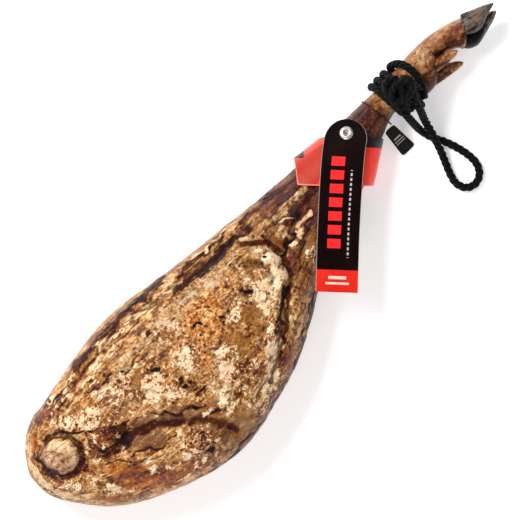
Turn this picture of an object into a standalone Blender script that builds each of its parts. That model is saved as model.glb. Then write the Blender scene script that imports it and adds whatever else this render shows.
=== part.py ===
# Cured ham: a whole dry-cured leg lying on its side, cut face up, with its rope, seal, collar and label.
#
# +X runs from the hip end to the hoof, +Y is the side of the shank's straight edge, +Z is up.
# The origin is under the middle of the ham, on the surface it lies on. Sizes are in millimetres
# until a point is placed, where they are multiplied by MM.

import functools
import math

import bmesh
import bpy
import numpy as np
from mathutils import Matrix, Vector, noise

MM = 0.001
GAP = 0.3

# The ham's skin, as stations from the hip end to the hoof. Each has the plan point of its +Y edge,
# the plan point of its -Y edge, and its lowest and highest level.
HIP_TIP = (-402.0, 25.0, 52.0)
LEG_STATIONS = [
    ((-397.6, 50.5), (-397.6, 2.5), 32, 70),
    ((-373.3, 79.8), (-373.3, -33.3), 14, 90),
    ((-349.1, 91.9), (-349.1, -58.9), 8, 98),
    ((-324.8, 95.5), (-324.8, -75.0), 4, 102),
    ((-276.4, 105.1), (-276.4, -96.5), 0, 110),
    ((-227.9, 112.5), (-227.9, -110.7), -2, 116),
    ((-179.4, 113.2), (-179.4, -114.6), -3, 119),
    ((-130.9, 105.4), (-130.9, -104.0), -2, 118),
    ((-82.4, 99.2), (-82.4, -90.4), 0, 113),
    ((-33.9, 94.1), (-33.9, -67.0), 3, 105),
    ((8.4, 89.4), (8.4, -41.5), 6, 96),
    ((50.0, 85.3), (50.0, -23.5), 9, 87),
    ((100.0, 82.2), (100.0, -5.2), 12, 78),
    ((150.0, 82.4), (150.0, 14.2), 14, 67),
    ((192.0, 81.5), (192.0, 34.0), 13.5, 58),
    ((215.0, 81.1), (215.0, 43.6), 13, 55.5),
    ((238.0, 81.6), (238.0, 45.0), 13.2, 56),
    ((257.0, 82.3), (257.0, 35.5), 13.2, 59),
    ((273.0, 82.9), (273.0, 32.7), 13.2, 61.5),
    ((288.0, 84.0), (288.0, 36.5), 12.5, 63.5),
    ((301.0, 84.2), (300.0, 49.0), 12, 64),
    ((314.0, 83.4), (311.0, 54.4), 12, 63),
    ((330.0, 80.8), (323.0, 52.2), 12.5, 62.5),
    ((347.0, 76.4), (332.0, 47.6), 12.5, 63),
    ((363.0, 70.0), (339.0, 42.0), 12, 64),
]
RING_STEP = 10.2
TOP_SIDES = 27
UNDER_SIDES = 15
SQUARENESS = 0.88
WIDEST_LEVEL = 0.46
LEG_SAMPLES = 1400

# Relief on the shown face: a path in plan, how wide it is and how far it rises or sinks.
RELIEF_PATHS = [
    # rounded edge of the knee lobe, and the dark groove outside it
    ([(-52, 62), (-24, 54), (-9, 38), (-6, 20), (-15, 0), (-40, -16), (-64, -35), (-92, -52)], 9, 4.5),
    ([(-20, 60), (2, 42), (5, 20), (-5, -4), (-32, -28), (-56, -48), (-84, -64), (-112, -78)], 6, -5.5),
    # fat rim along the +Y edge and the groove that parts it from the lean
    ([(-318, 90), (-278, 97), (-214, 106), (-147, 103), (-72, 94), (-10, 86)], 8, 2.5),
    ([(-316, 76), (-278, 84), (-214, 92), (-147, 90), (-72, 80), (-4, 72)], 7, -3.5),
    # the cushion's lower edge and the hollow between it and the hip
    ([(-296, 12), (-268, 10), (-236, 0), (-208, -20), (-176, -46), (-160, -78)], 12, 3.5),
    ([(-300, -6), (-270, -8), (-244, -20), (-222, -38), (-196, -62), (-184, -88)], 10, -4.0),
    ([(-330, -22), (-290, -38), (-256, -58), (-228, -82)], 10, 2.5),
    # folds of the shank
    ([(98, 48), (72, 44), (44, 37), (16, 26)], 6, -3.5),
    ([(86, 66), (50, 66), (20, 60)], 8, 2.0),
    ([(94, 19), (72, 12), (48, 3), (24, -10)], 8, 2.2),
    ([(214, 60), (176, 54), (136, 44)], 5, -1.6),
]
HIP_KNOB = (-355.5, 34.4)
HIP_KNOB_RADIUS = 22.0
HIP_KNOB_RISE = 7.5
HIP_CREASE_DEPTH = 2.6
# the crease round the knob, as shares of its radius
HIP_CREASE_PLACE = 1.25
HIP_CREASE_WIDTH = 0.22
UNEVEN_SIZE = 46.0
UNEVEN_DEPTH = 1.5
# Relief fades out towards the section's edges, and where the leg is thinner than this.
RELIEF_FADE = 2.2
RELIEF_FULL_DEPTH = 90.0

# The dewclaws behind the foot, as centres and radii: a fleshy lobe, then horn from HORN_START on.
DEWCLAWS = {
    "near": [(283, 54, 45, 9.0), (296, 53, 47, 9.6), (308, 50.5, 48, 8.4), (317.6, 47.8, 48.4, 5.9),
             (323.6, 46.6, 48.6, 4.9), (328, 45.6, 48.7, 3.2)],
    "far": [(276, 45, 26, 9.5), (290, 42, 24, 9.6), (304, 38, 23, 8.2), (313.6, 35.0, 22.6, 6.4),
            (319.6, 32.8, 22.4, 5.0), (324.6, 30.8, 22.2, 3.0)],
}
HORN_TIPS = {"near": (331.2, 44.7, 48.5), "far": (327.4, 29.6, 22.0)}
HORN_START = 3
HORN_GAP = 0.07
DEWCLAW_SIDES = 12

# The two claws of the hoof, as stations like the skin's.
CLAW_STATIONS = {
    "near": [
        ((366.4, 72.8), (349.2, 53.3), 38, 62.5),
        ((370.4, 71.4), (354.6, 48.9), 36.8, 64),
        ((377.0, 68.1), (363.2, 44.6), 36.8, 63.4),
        ((386.0, 64.4), (374.0, 44.7), 38.6, 61),
        ((394.2, 60.6), (385.6, 49.8), 42, 57.5),
        ((399.8, 57.4), (396.2, 52.6), 46, 53.6),
    ],
    "far": [
        ((353.4, 58.2), (339.2, 41.6), 13, 36),
        ((360.0, 56.2), (344.6, 36.0), 11.5, 36.2),
        ((370.2, 54.6), (354.6, 32.4), 11, 36.2),
        ((380.0, 53.2), (366.2, 34.4), 12, 35.6),
        ((389.0, 52.0), (379.6, 37.8), 14.5, 33.4),
        ((396.2, 49.8), (392.0, 41.5), 19, 28.6),
    ],
}
CLAW_TIPS = {"near": (402.0, 55.0, 49.8), "far": (399.2, 46.0, 23.6)}
CLAW_SIDES = 16
CLAW_RINGS = 14
CLAW_SQUARENESS = 0.85
CLAW_WIDEST_LEVEL = 0.5

# Rope: three turns side by side round the ankle, then an arch over the top, a knot and a carrying loop.
# The arch goes on from the third turn, as turns and places along the ankle.
ROPE_D = 10.4
WRAP_CROSSINGS = [225.4, 236.2, 247.0, 259.5]
WRAP_POINTS = 18
WRAP_CLEAR = 0.8
WRAP_ARCH = [(3.04, 262.4), (3.08, 266.4), (3.12, 269.6), (3.17, 272.2), (3.22, 273.2), (3.27, 272.0),
             (3.32, 269.0), (3.365, 264.6), (3.39, 261.0)]
KNOT_EXIT_STRANDS = [
    [(252.6, 72, 76.2), (245.6, 77.6, 74.0), (237.6, 76.0, 74.0), (232.4, 68, 75.4), (231.6, 57, 76.6)],
    [(262.4, 61.5, 81.0), (260, 53.5, 81.8), (255.4, 46.5, 79.0)],
]
KNOT_CROSS_STRANDS = [
    [(256.6, 66.8, 80.4), (251.6, 62.6, 82.8), (246, 55.6, 83.2), (241.4, 48, 80.6), (238.6, 41, 75.6)],
    [(234.2, 60.5, 79.4), (240.8, 66.0, 82.8), (249.4, 66.6, 83.6), (257.4, 61.0, 83.8), (262, 53, 80.8)],
    [(236.2, 50.4, 79.8), (243.4, 47.4, 84.6), (251.6, 48.8, 86.2), (259.4, 53, 83.4)],
]
KNOT_RINGS = 12
EXIT_RUN = (8.0, 4.0, 0.9)

# The loop falls from the knot to the surface and crosses over itself once.
LOOP_ROUTE = [
    (231.0, 39.6, 70.0), (230.6, 31.5, 62.5), (230.6, 24.6, 51.0), (230.9, 17.6, 36.5),
    (231.6, 10.0, 21.5), (233.4, 1.0, 10.4), (237.0, -10.0, 6.1), (243.9, -23.9, 5.7), (249.4, -39.6, 5.6),
    (252.6, -55.2, 5.6), (252.2, -69.4, 5.6), (245.6, -81.0, 5.6), (234.2, -85.8, 5.6), (222.6, -81.2, 5.6),
    (217.6, -68.6, 5.6), (220.8, -54.6, 5.7), (226.4, -41.2, 7.2), (231.4, -28.8, 11.6), (235.6, -16.2, 17.2),
    (239.2, -4.4, 21.6), (242.2, 7.4, 27.4), (244.4, 16.0, 37.6), (246.2, 21.6, 49.0), (247.6, 27.0, 60.4),
    (249.0, 34.0, 68.6),
]
LOOP_POINTS = 44

# Seal: a thin cord round the ankle and a flat tag that hangs from it down to the surface.
SEAL_CORD_D = 1.7
SEAL_CORD_LEFT_X = 205.0
SEAL_CORD_RIGHT_X = 211.0
SEAL_CORD_POINTS = 28
SEAL_CORD_CLEAR = 0.6
SEAL_CORD_SLACK = 3.0
SEAL_CORD_SLACK_WIDTH = 0.4
SEAL_TAG_TOP = (205.6, 36.0, 32.0)
SEAL_TAG_FOOT = (205.2, 0.6, 1.7)
SEAL_TAG_TOP_WIDTH = 15.0
SEAL_TAG_FOOT_WIDTH = 20.5
SEAL_TAG_THICK = 1.6
SEAL_TAG_CORNER = 4.0

# Collar: a band of card round the shank, cut square to the label and so askew to the shank.
COLLAR_AXIS = (-0.704, -0.710)
COLLAR_TOP_LINE = -159.0
COLLAR_FOOT_LINE = -100.0
COLLAR_CORNER_X = 12.5
COLLAR_THICK = 1.0
COLLAR_CLEAR = 2.2
COLLAR_LEFT_CLEAR = (8.0, 3.0)
COLLAR_RIGHT_CLEAR = (8.6, -0.7)
COLLAR_SIDES = 40
COLLAR_ROWS = (0, 0.3, 0.56, 0.76, 0.9, 1)
# How far its ends draw in at the left edge, below the shank and at the right edge.
COLLAR_TOP_LEFT = 6.0
COLLAR_TOP_UNDER = 6.0
COLLAR_FOOT_UNDER = 4.0
COLLAR_FOOT_RIGHT = 8.0
TONGUE_ANGLE = 1.05
TONGUE_WIDTH = 0.28
TONGUE_REACH = 23.0
# Round the stud the collar is lifted to the label's underside.
UNDER_LABEL_REACH = 12.0
UNDER_LABEL_ABOVE = 40.0
LINE_ROUNDS = 40

# Label: a long card with a rounded top, held by a stud and lying on the shank's hump.
LABEL_TOP = (173.1, 83.8)
LABEL_AXIS = (-0.730, -0.683)
LABEL_LENGTH = 210.0
LABEL_WIDTH = 52.0
LABEL_THICK = 1.2
LABEL_STATIONS = [
    (0, 65.2, 0, 5.4), (18, 68.6, 0, 4.4), (38, 72.8, 2, 2.2), (60, 76.9, 4, 0.8), (85, 79.8, 6.5, 0),
    (110, 81.3, 8.6, -0.5), (140, 82.3, 10, -0.8), (175, 82.5, 10, -0.6), (210, 81.6, 10, -0.2),
]
LABEL_ROUND_ROWS = 7
LABEL_ROUND_START = 0.28
LABEL_STRAIGHT_ROWS = 15
LABEL_COLUMNS = 4
STUD_FROM_TOP = 17.4
STUD_SPAN = 8.0
STUD_DIAMETER = 16.6
STUD_PIN_DIAMETER = 4.0
STUD_HOLE_DIAMETER = 5.0
STUD_CLEAR = 0.12
# The cap's top, from the dimple out to the rim: radius in cap radii, height above the card.
STUD_CAP = [(0, 1.2), (0.31, 1.3), (0.41, 2.5), (0.72, 2.2), (0.94, 1.3), (1.0, 0.5), (0.95, 0)]
STUD_STEPS = 20

COLOURS = {
    "ham": ((0.36, 0.20, 0.085), 0.55, 0.0),
    "horn": ((0.055, 0.047, 0.045), 0.40, 0.0),
    "dewclaw": ((0.45, 0.22, 0.09), 0.45, 0.0),
    "rope": ((0.012, 0.012, 0.013), 0.85, 0.0),
    "seal": ((0.010, 0.010, 0.011), 0.45, 0.0),
    "collar": ((0.62, 0.03, 0.03), 0.40, 0.0),
    "label": ((0.010, 0.009, 0.010), 0.35, 0.0),
    "stud": ((0.78, 0.77, 0.75), 0.25, 1.0),
}


# Scene and small helpers

def clear_scene():
    for old in list(bpy.data.objects):
        bpy.data.objects.remove(old, do_unlink=True)


def collection(name):
    made = bpy.data.collections.new(name)
    bpy.context.scene.collection.children.link(made)
    return made


def material(name):
    colour, roughness, metallic = COLOURS[name]
    made = bpy.data.materials.new(name)
    made.use_nodes = True
    shader = made.node_tree.nodes["Principled BSDF"]
    shader.inputs["Base Color"].default_value = (*colour, 1.0)
    shader.inputs["Roughness"].default_value = roughness
    shader.inputs["Metallic"].default_value = metallic
    return made


def add_object(name, data, colour, into):
    made = bpy.data.objects.new(name, data)
    made.data.materials.append(material(colour))
    into.objects.link(made)
    return made


def mesh_from(name, points, faces):
    mesh = bpy.data.meshes.new(name)
    mesh.from_pydata([tuple(np.asarray(p) * MM) for p in points], [], faces)
    body = bmesh.new()
    body.from_mesh(mesh)
    bmesh.ops.recalc_face_normals(body, faces=body.faces)
    body.to_mesh(mesh)
    body.free()
    mesh.shade_smooth()
    return mesh


def smooth_line(points, places):
    """Points of a Catmull-Rom curve through the given points, at places from 0 to len(points) - 1."""
    given = np.asarray(points, float)
    ends = np.vstack([2 * given[0] - given[1], given, 2 * given[-1] - given[-2]])
    made = []
    for place in places:
        start = min(int(place), len(given) - 2)
        t = place - start
        a, b, c, d = ends[start:start + 4]
        made.append(0.5 * (2 * b + (c - a) * t + (2 * a - 5 * b + 4 * c - d) * t ** 2
                           + (3 * b - a - 3 * c + d) * t ** 3))
    return np.array(made)


def even_line(points, count):
    """The same curve, with its points evenly far apart."""
    fine = smooth_line(points, np.linspace(0, len(points) - 1, 40 * len(points)))
    run = np.concatenate([[0], np.cumsum(np.linalg.norm(np.diff(fine, axis=0), axis=1))])
    wanted = np.linspace(0, run[-1], count)
    return np.column_stack([np.interp(wanted, run, fine[:, axis]) for axis in range(fine.shape[1])])


# Sections of the leg and the claws

def station_rows(stations, tip=None, tip_first=True):
    """Stations as rows of seven values, with the tip as a station of no size."""
    rows = [[*left, *right, low, high] for left, right, low, high in stations]
    if tip is None:
        return np.array(rows, float)
    point = [tip[0], tip[1], tip[0], tip[1], tip[2], tip[2]]
    rows = [point] + rows if tip_first else rows + [point]
    return np.array(rows, float)


def with_rounded_tip(rows, at_start):
    """Adds the station beyond a tip: the next one seen in a mirror, so that the tip is round."""
    near = rows[1] if at_start else rows[-2]
    mirrored = np.array([near[2], near[3], near[0], near[1], near[5], near[4]])
    return np.vstack([mirrored, rows]) if at_start else np.vstack([rows, mirrored])


def ring_angles():
    """Angles round a section of the leg, from the +Y edge over the top, closer together on top."""
    top = np.linspace(0, math.pi, TOP_SIDES, endpoint=False)
    under = np.linspace(math.pi, 2 * math.pi, UNDER_SIDES, endpoint=False)
    return np.concatenate([top, under])


def section_ring(row, angles, power, widest):
    """Points round one section: a rounded box between its two edges and its two levels."""
    left = np.array(row[0:2])
    right = np.array(row[2:4])
    low, high = row[4:6]
    level = low + (high - low) * widest
    across = np.sign(np.cos(angles)) * np.abs(np.cos(angles)) ** power
    rise = np.sign(np.sin(angles)) * np.abs(np.sin(angles)) ** power
    plan = (left + right) / 2 + across[:, None] * (left - right) / 2
    height = level + np.where(rise > 0, rise * (high - level), rise * (level - low))
    return np.column_stack([plan, height])


@functools.cache
def leg_curve():
    """The leg's stations as a fine table, with how far along the skin each row lies."""
    rows = with_rounded_tip(station_rows(LEG_STATIONS, HIP_TIP), True)
    fine = smooth_line(rows, np.linspace(1, len(rows) - 1, LEG_SAMPLES))
    step = np.diff(fine, axis=0)
    edges = np.hypot(step[:, 0], step[:, 1]) + np.hypot(step[:, 2], step[:, 3])
    levels = np.hypot(step[:, 0], step[:, 4]) + np.hypot(step[:, 0], step[:, 5])
    run = np.concatenate([[0], np.cumsum((edges + levels) / 4)])
    return fine, run


def leg_row_at(x):
    """The leg's section whose middle is at x."""
    fine, _ = leg_curve()
    middle = (fine[:, 0] + fine[:, 2]) / 2
    return np.array([np.interp(x, middle, fine[:, column]) for column in range(6)])


# Relief of the shown face

def path_distance(point, path):
    nearest = 1e9
    for start, end in zip(path[:-1], path[1:]):
        along = np.subtract(end, start)
        t = np.clip(np.dot(np.subtract(point, start), along) / np.dot(along, along), 0, 1)
        nearest = min(nearest, float(np.linalg.norm(np.subtract(point, start) - t * along)))
    return nearest


def knob_rise(point):
    r = math.dist(point, HIP_KNOB) / HIP_KNOB_RADIUS
    dome = HIP_KNOB_RISE * max(0.0, 1 - r ** 4) ** 0.5
    crease = HIP_CREASE_DEPTH * math.exp(-((r - HIP_CREASE_PLACE) / HIP_CREASE_WIDTH) ** 2)
    return dome - crease


def relief(point):
    rise = knob_rise(point[:2])
    for path, width, height in RELIEF_PATHS:
        rise += height * math.exp(-(path_distance(point[:2], path) / width) ** 2)
    return rise


def uneven(point):
    return UNEVEN_DEPTH * noise.noise(Vector(point) / UNEVEN_SIZE)


def leg_skin():
    """The leg from the hip end to the foot's end, flat where it lies on the surface."""
    fine, run = leg_curve()
    count = round(run[-1] / RING_STEP)
    places = np.linspace(0, run[-1], count + 1)[1:]
    angles = ring_angles()
    points = [HIP_TIP]
    for place in places:
        row = [np.interp(place, run, fine[:, column]) for column in range(6)]
        ring = section_ring(row, angles, SQUARENESS, WIDEST_LEVEL)
        foot_end = place == places[-1]
        for angle, point in zip(angles, ring):
            shown = min(1.0, max(0.0, math.sin(angle) * RELIEF_FADE))
            body = min(1.0, (row[5] - row[4]) / RELIEF_FULL_DEPTH)
            if not foot_end:
                point[2] += relief(point) * shown * body + uneven(point) * body
            points.append((point[0], point[1], max(0.0, point[2])))
    sides = len(angles)
    faces = [(0, 1 + (i + 1) % sides, 1 + i) for i in range(sides)]
    for ring in range(len(places) - 1):
        first = 1 + ring * sides
        for i in range(sides):
            j = (i + 1) % sides
            faces.append((first + i, first + j, first + sides + j, first + sides + i))
    last = 1 + (len(places) - 1) * sides
    faces.append(tuple(range(last, last + sides)))
    return mesh_from("leg", points, faces)


# Lofts for the lobes, horns and claws

def closed_loft(name, rings, tip=None):
    """A mesh through rings of equal count, with a flat first end and a tip or a flat last end."""
    sides = len(rings[0])
    points = [point for ring in rings for point in ring]
    faces = [tuple(range(sides))]
    for ring in range(len(rings) - 1):
        first = ring * sides
        for i in range(sides):
            j = (i + 1) % sides
            faces.append((first + i, first + j, first + sides + j, first + sides + i))
    last = (len(rings) - 1) * sides
    if tip is None:
        faces.append(tuple(range(last, last + sides)))
    else:
        points.append(tip)
        faces += [(last + i, last + (i + 1) % sides, len(points) - 1) for i in range(sides)]
    return mesh_from(name, points, faces)


def round_rings(balls, places, sides):
    """Parallel rings along a tapering round rod given by centres and radii."""
    line = smooth_line(balls, places)
    heading = (Vector(balls[-1][:3]) - Vector(balls[0][:3])).normalized()
    across = heading.cross(Vector((0, 0, 1))).normalized()
    up = across.cross(heading)
    angles = np.linspace(0, 2 * math.pi, sides, endpoint=False)
    rings = []
    for x, y, z, radius in line.tolist():
        centre = Vector((x, y, z))
        rings.append([centre + (across * math.cos(a) + up * math.sin(a)) * radius for a in angles])
    return rings


def dewclaw_lobe(side, into):
    rings = round_rings(DEWCLAWS[side], np.linspace(0, HORN_START, 7), DEWCLAW_SIDES)
    lobe = bpy.data.objects.new("lobe_" + side, closed_loft("lobe_" + side, rings))
    lobe.hide_render = True
    lobe.display_type = "WIRE"
    into.objects.link(lobe)
    return lobe


def dewclaw_horn(side, into):
    places = np.linspace(HORN_START + HORN_GAP, len(DEWCLAWS[side]) - 1, 5)
    rings = round_rings(DEWCLAWS[side], places, DEWCLAW_SIDES)
    return add_object("dewclaw_" + side, closed_loft("horn_" + side, rings, HORN_TIPS[side]), "dewclaw", into)


def claw(side, into):
    """One claw: an outer wall that tapers to the tip, fuller near the heel."""
    rows = station_rows(CLAW_STATIONS[side], CLAW_TIPS[side], tip_first=False)
    rows = with_rounded_tip(rows, False)
    fine = smooth_line(rows, np.linspace(0, len(rows) - 2, CLAW_RINGS + 1)[:-1])
    angles = np.linspace(0, 2 * math.pi, CLAW_SIDES, endpoint=False)
    rings = [section_ring(row, angles, CLAW_SQUARENESS, CLAW_WIDEST_LEVEL) for row in fine]
    return add_object("claw_" + side, closed_loft("claw_" + side, rings, CLAW_TIPS[side]), "horn", into)


def boolean(target, operation, other=None, group=None):
    made = target.modifiers.new(operation.lower(), "BOOLEAN")
    made.operation = operation
    made.solver = "EXACT"
    if group:
        made.operand_type = "COLLECTION"
        made.collection = group
    else:
        made.object = other
    return made


# Rope and cords

def tube(name, points, diameter, colour, into, cyclic=False, resolution=2):
    curve = bpy.data.curves.new(name, "CURVE")
    curve.dimensions = "3D"
    curve.bevel_depth = diameter / 2 * MM
    curve.bevel_resolution = resolution
    curve.use_fill_caps = True
    spline = curve.splines.new("POLY")
    spline.points.add(len(points) - 1)
    for place, point in zip(spline.points, points):
        place.co = (*(np.asarray(point) * MM), 1.0)
    spline.use_cyclic_u = cyclic
    return add_object(name, curve, colour, into)


def as_mesh(curve_object, into):
    """The curve's tube as a mesh object with welded caps, in place of the curve."""
    seen = curve_object.evaluated_get(bpy.context.evaluated_depsgraph_get())
    mesh = bpy.data.meshes.new_from_object(seen)
    body = bmesh.new()
    body.from_mesh(mesh)
    bmesh.ops.remove_doubles(body, verts=body.verts, dist=0.00001)
    bmesh.ops.recalc_face_normals(body, faces=body.faces)
    body.to_mesh(mesh)
    body.free()
    made = bpy.data.objects.new(curve_object.name + "_solid", mesh)
    made.matrix_world = curve_object.matrix_world
    bpy.data.objects.remove(curve_object, do_unlink=True)
    into.objects.link(made)
    return made


def around_ankle(x, angle, clear):
    """A point that far out from the skin, in the section at x."""
    step = 0.02
    here, after = section_ring(leg_row_at(x), np.array([angle, angle + step]), SQUARENESS, WIDEST_LEVEL)
    before = section_ring(leg_row_at(x), np.array([angle - step]), SQUARENESS, WIDEST_LEVEL)[0]
    along = after - before
    outward = np.array([0.0, along[2], -along[1]])
    return here + clear * outward / np.linalg.norm(outward)


def wrap_route():
    """The turns round the ankle, starting at the +Y edge and passing over the top first."""
    full_turns = len(WRAP_CROSSINGS) - 1
    places = [k / WRAP_POINTS for k in range(full_turns * WRAP_POINTS + 1)]
    stations = [(turn, np.interp(turn, range(full_turns + 1), WRAP_CROSSINGS)) for turn in places]
    route = []
    for turn, x in stations + WRAP_ARCH:
        angle = 2 * math.pi * turn
        clear = ROPE_D / 2 + WRAP_CLEAR
        reach = [around_ankle(x + offset, angle, clear) for offset in (-ROPE_D / 2, 0, ROPE_D / 2)]
        centre = leg_row_at(x)
        middle = np.array([0, (centre[1] + centre[3]) / 2, (centre[4] + centre[5]) / 2])
        spread = [np.linalg.norm((point - middle)[1:]) for point in reach]
        outer = reach[int(np.argmax(spread))]
        route.append((x, outer[1], max(outer[2], ROPE_D / 2 + GAP)))
    return route


def strand_to_exit(strand, loop_end, loop_next):
    """A knot's strand, led on so that its end faces the loop's end across the gap."""
    out = Vector(loop_end - loop_next).normalized()
    return strand + [tuple(Vector(loop_end) + out * far) for far in EXIT_RUN]


def rope(into, cutters):
    tube("rope_wraps", wrap_route(), ROPE_D, "rope", into)
    loop = even_line(LOOP_ROUTE, LOOP_POINTS)
    ends = (loop[0], loop[1]), (loop[-1], loop[-2])
    exits = [strand_to_exit(strand, *end) for strand, end in zip(KNOT_EXIT_STRANDS, ends)]
    strands = []
    for number, strand in enumerate(exits + KNOT_CROSS_STRANDS):
        line = even_line(strand, KNOT_RINGS)
        strands.append(as_mesh(tube(f"strand_{number}", line, ROPE_D, "rope", into), cutters))
    knot = strands[0]
    for other in strands[1:]:
        boolean(knot, "UNION", other)
        other.hide_render = True
        other.display_type = "WIRE"
    cutters.objects.unlink(knot)
    into.objects.link(knot)
    knot.name = "rope_knot"
    tube("rope_loop", loop, ROPE_D, "rope", into)


def seal_cord(into):
    points = []
    for k in range(SEAL_CORD_POINTS):
        angle = 2 * math.pi * k / SEAL_CORD_POINTS
        x = SEAL_CORD_RIGHT_X + (SEAL_CORD_LEFT_X - SEAL_CORD_RIGHT_X) * (1 + math.cos(angle)) / 2
        slack = SEAL_CORD_SLACK * math.exp(-((angle - math.pi) / SEAL_CORD_SLACK_WIDTH) ** 2)
        points.append(around_ankle(x, angle, SEAL_CORD_D / 2 + SEAL_CORD_CLEAR + slack))
    tube("seal_cord", points, SEAL_CORD_D, "seal", into, cyclic=True)


# Flat cards

def rounded_outline(top_width, foot_width, length, corner):
    """A four-sided outline with round corners, its top middle at the origin and its foot at -Y."""
    corners = [(-top_width / 2, 0), (top_width / 2, 0), (foot_width / 2, -length), (-foot_width / 2, -length)]
    outline = []
    for here, before, after in zip(corners, corners[-1:] + corners[:-1], corners[1:] + corners[:1]):
        here, before, after = Vector(here), Vector(before), Vector(after)
        start = here + (before - here).normalized() * corner
        end = here + (after - here).normalized() * corner
        for t in (0, 0.33, 0.67, 1):
            outline.append((1 - t) ** 2 * start + 2 * t * (1 - t) * here + t ** 2 * end)
    return outline


def seal_tag(into):
    """A flat black tag leaning from the ankle's side to the surface."""
    top, foot = Vector(SEAL_TAG_TOP), Vector(SEAL_TAG_FOOT)
    length = (foot - top).length
    curve = bpy.data.curves.new("seal_tag", "CURVE")
    curve.dimensions = "2D"
    curve.fill_mode = "BOTH"
    curve.extrude = SEAL_TAG_THICK / 2 * MM
    outline = rounded_outline(SEAL_TAG_TOP_WIDTH, SEAL_TAG_FOOT_WIDTH, length, SEAL_TAG_CORNER)
    spline = curve.splines.new("POLY")
    spline.points.add(len(outline) - 1)
    for place, point in zip(spline.points, outline):
        place.co = (point.x * MM, point.y * MM, 0, 1)
    spline.use_cyclic_u = True
    tag = add_object("seal_tag", curve, "seal", into)
    down = (foot - top).normalized()
    across = Vector((0, 0, 1)).cross(down).normalized()
    turn = Matrix((across, -down, across.cross(-down))).transposed().to_4x4()
    tag.matrix_world = Matrix.Translation(top * MM) @ turn


def label_frame(along):
    """The label's middle at that distance from its top, and its direction across."""
    places = [station[0] for station in LABEL_STATIONS]
    spot = np.interp(along, places, range(len(places)))
    _, height, roll, aside = smooth_line(LABEL_STATIONS, [spot])[0]
    axis = np.array(LABEL_AXIS) / np.linalg.norm(LABEL_AXIS)
    across = np.array([-axis[1], axis[0], 0])
    middle = np.array([*(np.array(LABEL_TOP) + axis * along), height]) + across * aside
    tilt = math.radians(roll)
    return middle, across * math.cos(tilt) - np.array([0, 0, math.sin(tilt)])


def label_half_width(along):
    """Half the label's width: its top is a half round."""
    radius = LABEL_WIDTH / 2
    if along >= radius:
        return radius
    return math.sqrt(max(0.0, radius ** 2 - (radius - along) ** 2))


def label(into, cutter):
    radius = LABEL_WIDTH / 2
    turns = np.linspace(LABEL_ROUND_START, math.pi / 2, LABEL_ROUND_ROWS)
    round_rows = [radius * (1 - math.cos(turn)) for turn in turns]
    rows = round_rows + list(np.linspace(radius, LABEL_LENGTH, LABEL_STRAIGHT_ROWS + 1)[1:])
    points = []
    for along in rows:
        middle, across = label_frame(along)
        half = label_half_width(along)
        points += [middle + across * half * side for side in np.linspace(-1, 1, LABEL_COLUMNS + 1)]
    faces = []
    wide = LABEL_COLUMNS + 1
    for row in range(len(rows) - 1):
        for column in range(LABEL_COLUMNS):
            at = row * wide + column
            faces.append((at, at + 1, at + wide + 1, at + wide))
    card = add_object("label_tag", mesh_from("label_tag", points, faces), "label", into)
    thick(card, LABEL_THICK)
    boolean(card, "DIFFERENCE", cutter)


def thick(card, thickness):
    made = card.modifiers.new("thickness", "SOLIDIFY")
    made.thickness = thickness * MM
    made.offset = 0
    made.use_even_offset = True


def stud_place():
    middle, _ = label_frame(STUD_FROM_TOP)
    before = label_frame(STUD_FROM_TOP - STUD_SPAN / 2)[0]
    after = label_frame(STUD_FROM_TOP + STUD_SPAN / 2)[0]
    along = Vector(after - before).normalized()
    across = Vector((along.y, -along.x, 0)).normalized()
    up = across.cross(along)
    if up.z < 0:
        up = -up
    turn = up.to_track_quat("Z", "Y").to_matrix().to_4x4()
    return Matrix.Translation(Vector(middle) * MM) @ turn


def stud(into):
    """A press stud through label and collar: a turned cap with a dimple, on a pin."""
    cap = STUD_DIAMETER / 2
    pin = STUD_PIN_DIAMETER / 2
    over = LABEL_THICK / 2 + GAP + STUD_CLEAR
    under = -LABEL_THICK / 2 - COLLAR_THICK - 2 * GAP
    profile = [(cap * share, over + height) for share, height in STUD_CAP]
    profile += [(pin, over), (pin, under), (0, under)]
    mesh = bpy.data.meshes.new("label_stud")
    edges = [(i, i + 1) for i in range(len(profile) - 1)]
    mesh.from_pydata([(r * MM, 0, z * MM) for r, z in profile], edges, [])
    made = add_object("label_stud", mesh, "stud", into)
    made.matrix_world = stud_place()
    screw = made.modifiers.new("turn", "SCREW")
    screw.steps = STUD_STEPS
    screw.render_steps = STUD_STEPS
    screw.use_merge_vertices = True
    screw.merge_threshold = 0.00001


def stud_hole(cutters):
    bpy.ops.mesh.primitive_cylinder_add(vertices=16, radius=STUD_HOLE_DIAMETER / 2 * MM, depth=12 * MM)
    hole = bpy.context.object
    hole.name = "stud_hole"
    hole.matrix_world = stud_place()
    for group in list(hole.users_collection):
        group.objects.unlink(hole)
    cutters.objects.link(hole)
    hole.hide_render = True
    hole.display_type = "WIRE"
    return hole


# Collar

def skin_on_line(line, angle):
    """Where the skin at that angle meets a line square to the collar's axis, closed in on by halves."""
    x = -line
    for _ in range(LINE_ROUNDS):
        y = section_ring(leg_row_at(x), np.array([angle]), SQUARENESS, WIDEST_LEVEL)[0][1]
        x = (x + (line - COLLAR_AXIS[1] * y) / COLLAR_AXIS[0]) / 2
    return x, y


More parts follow.
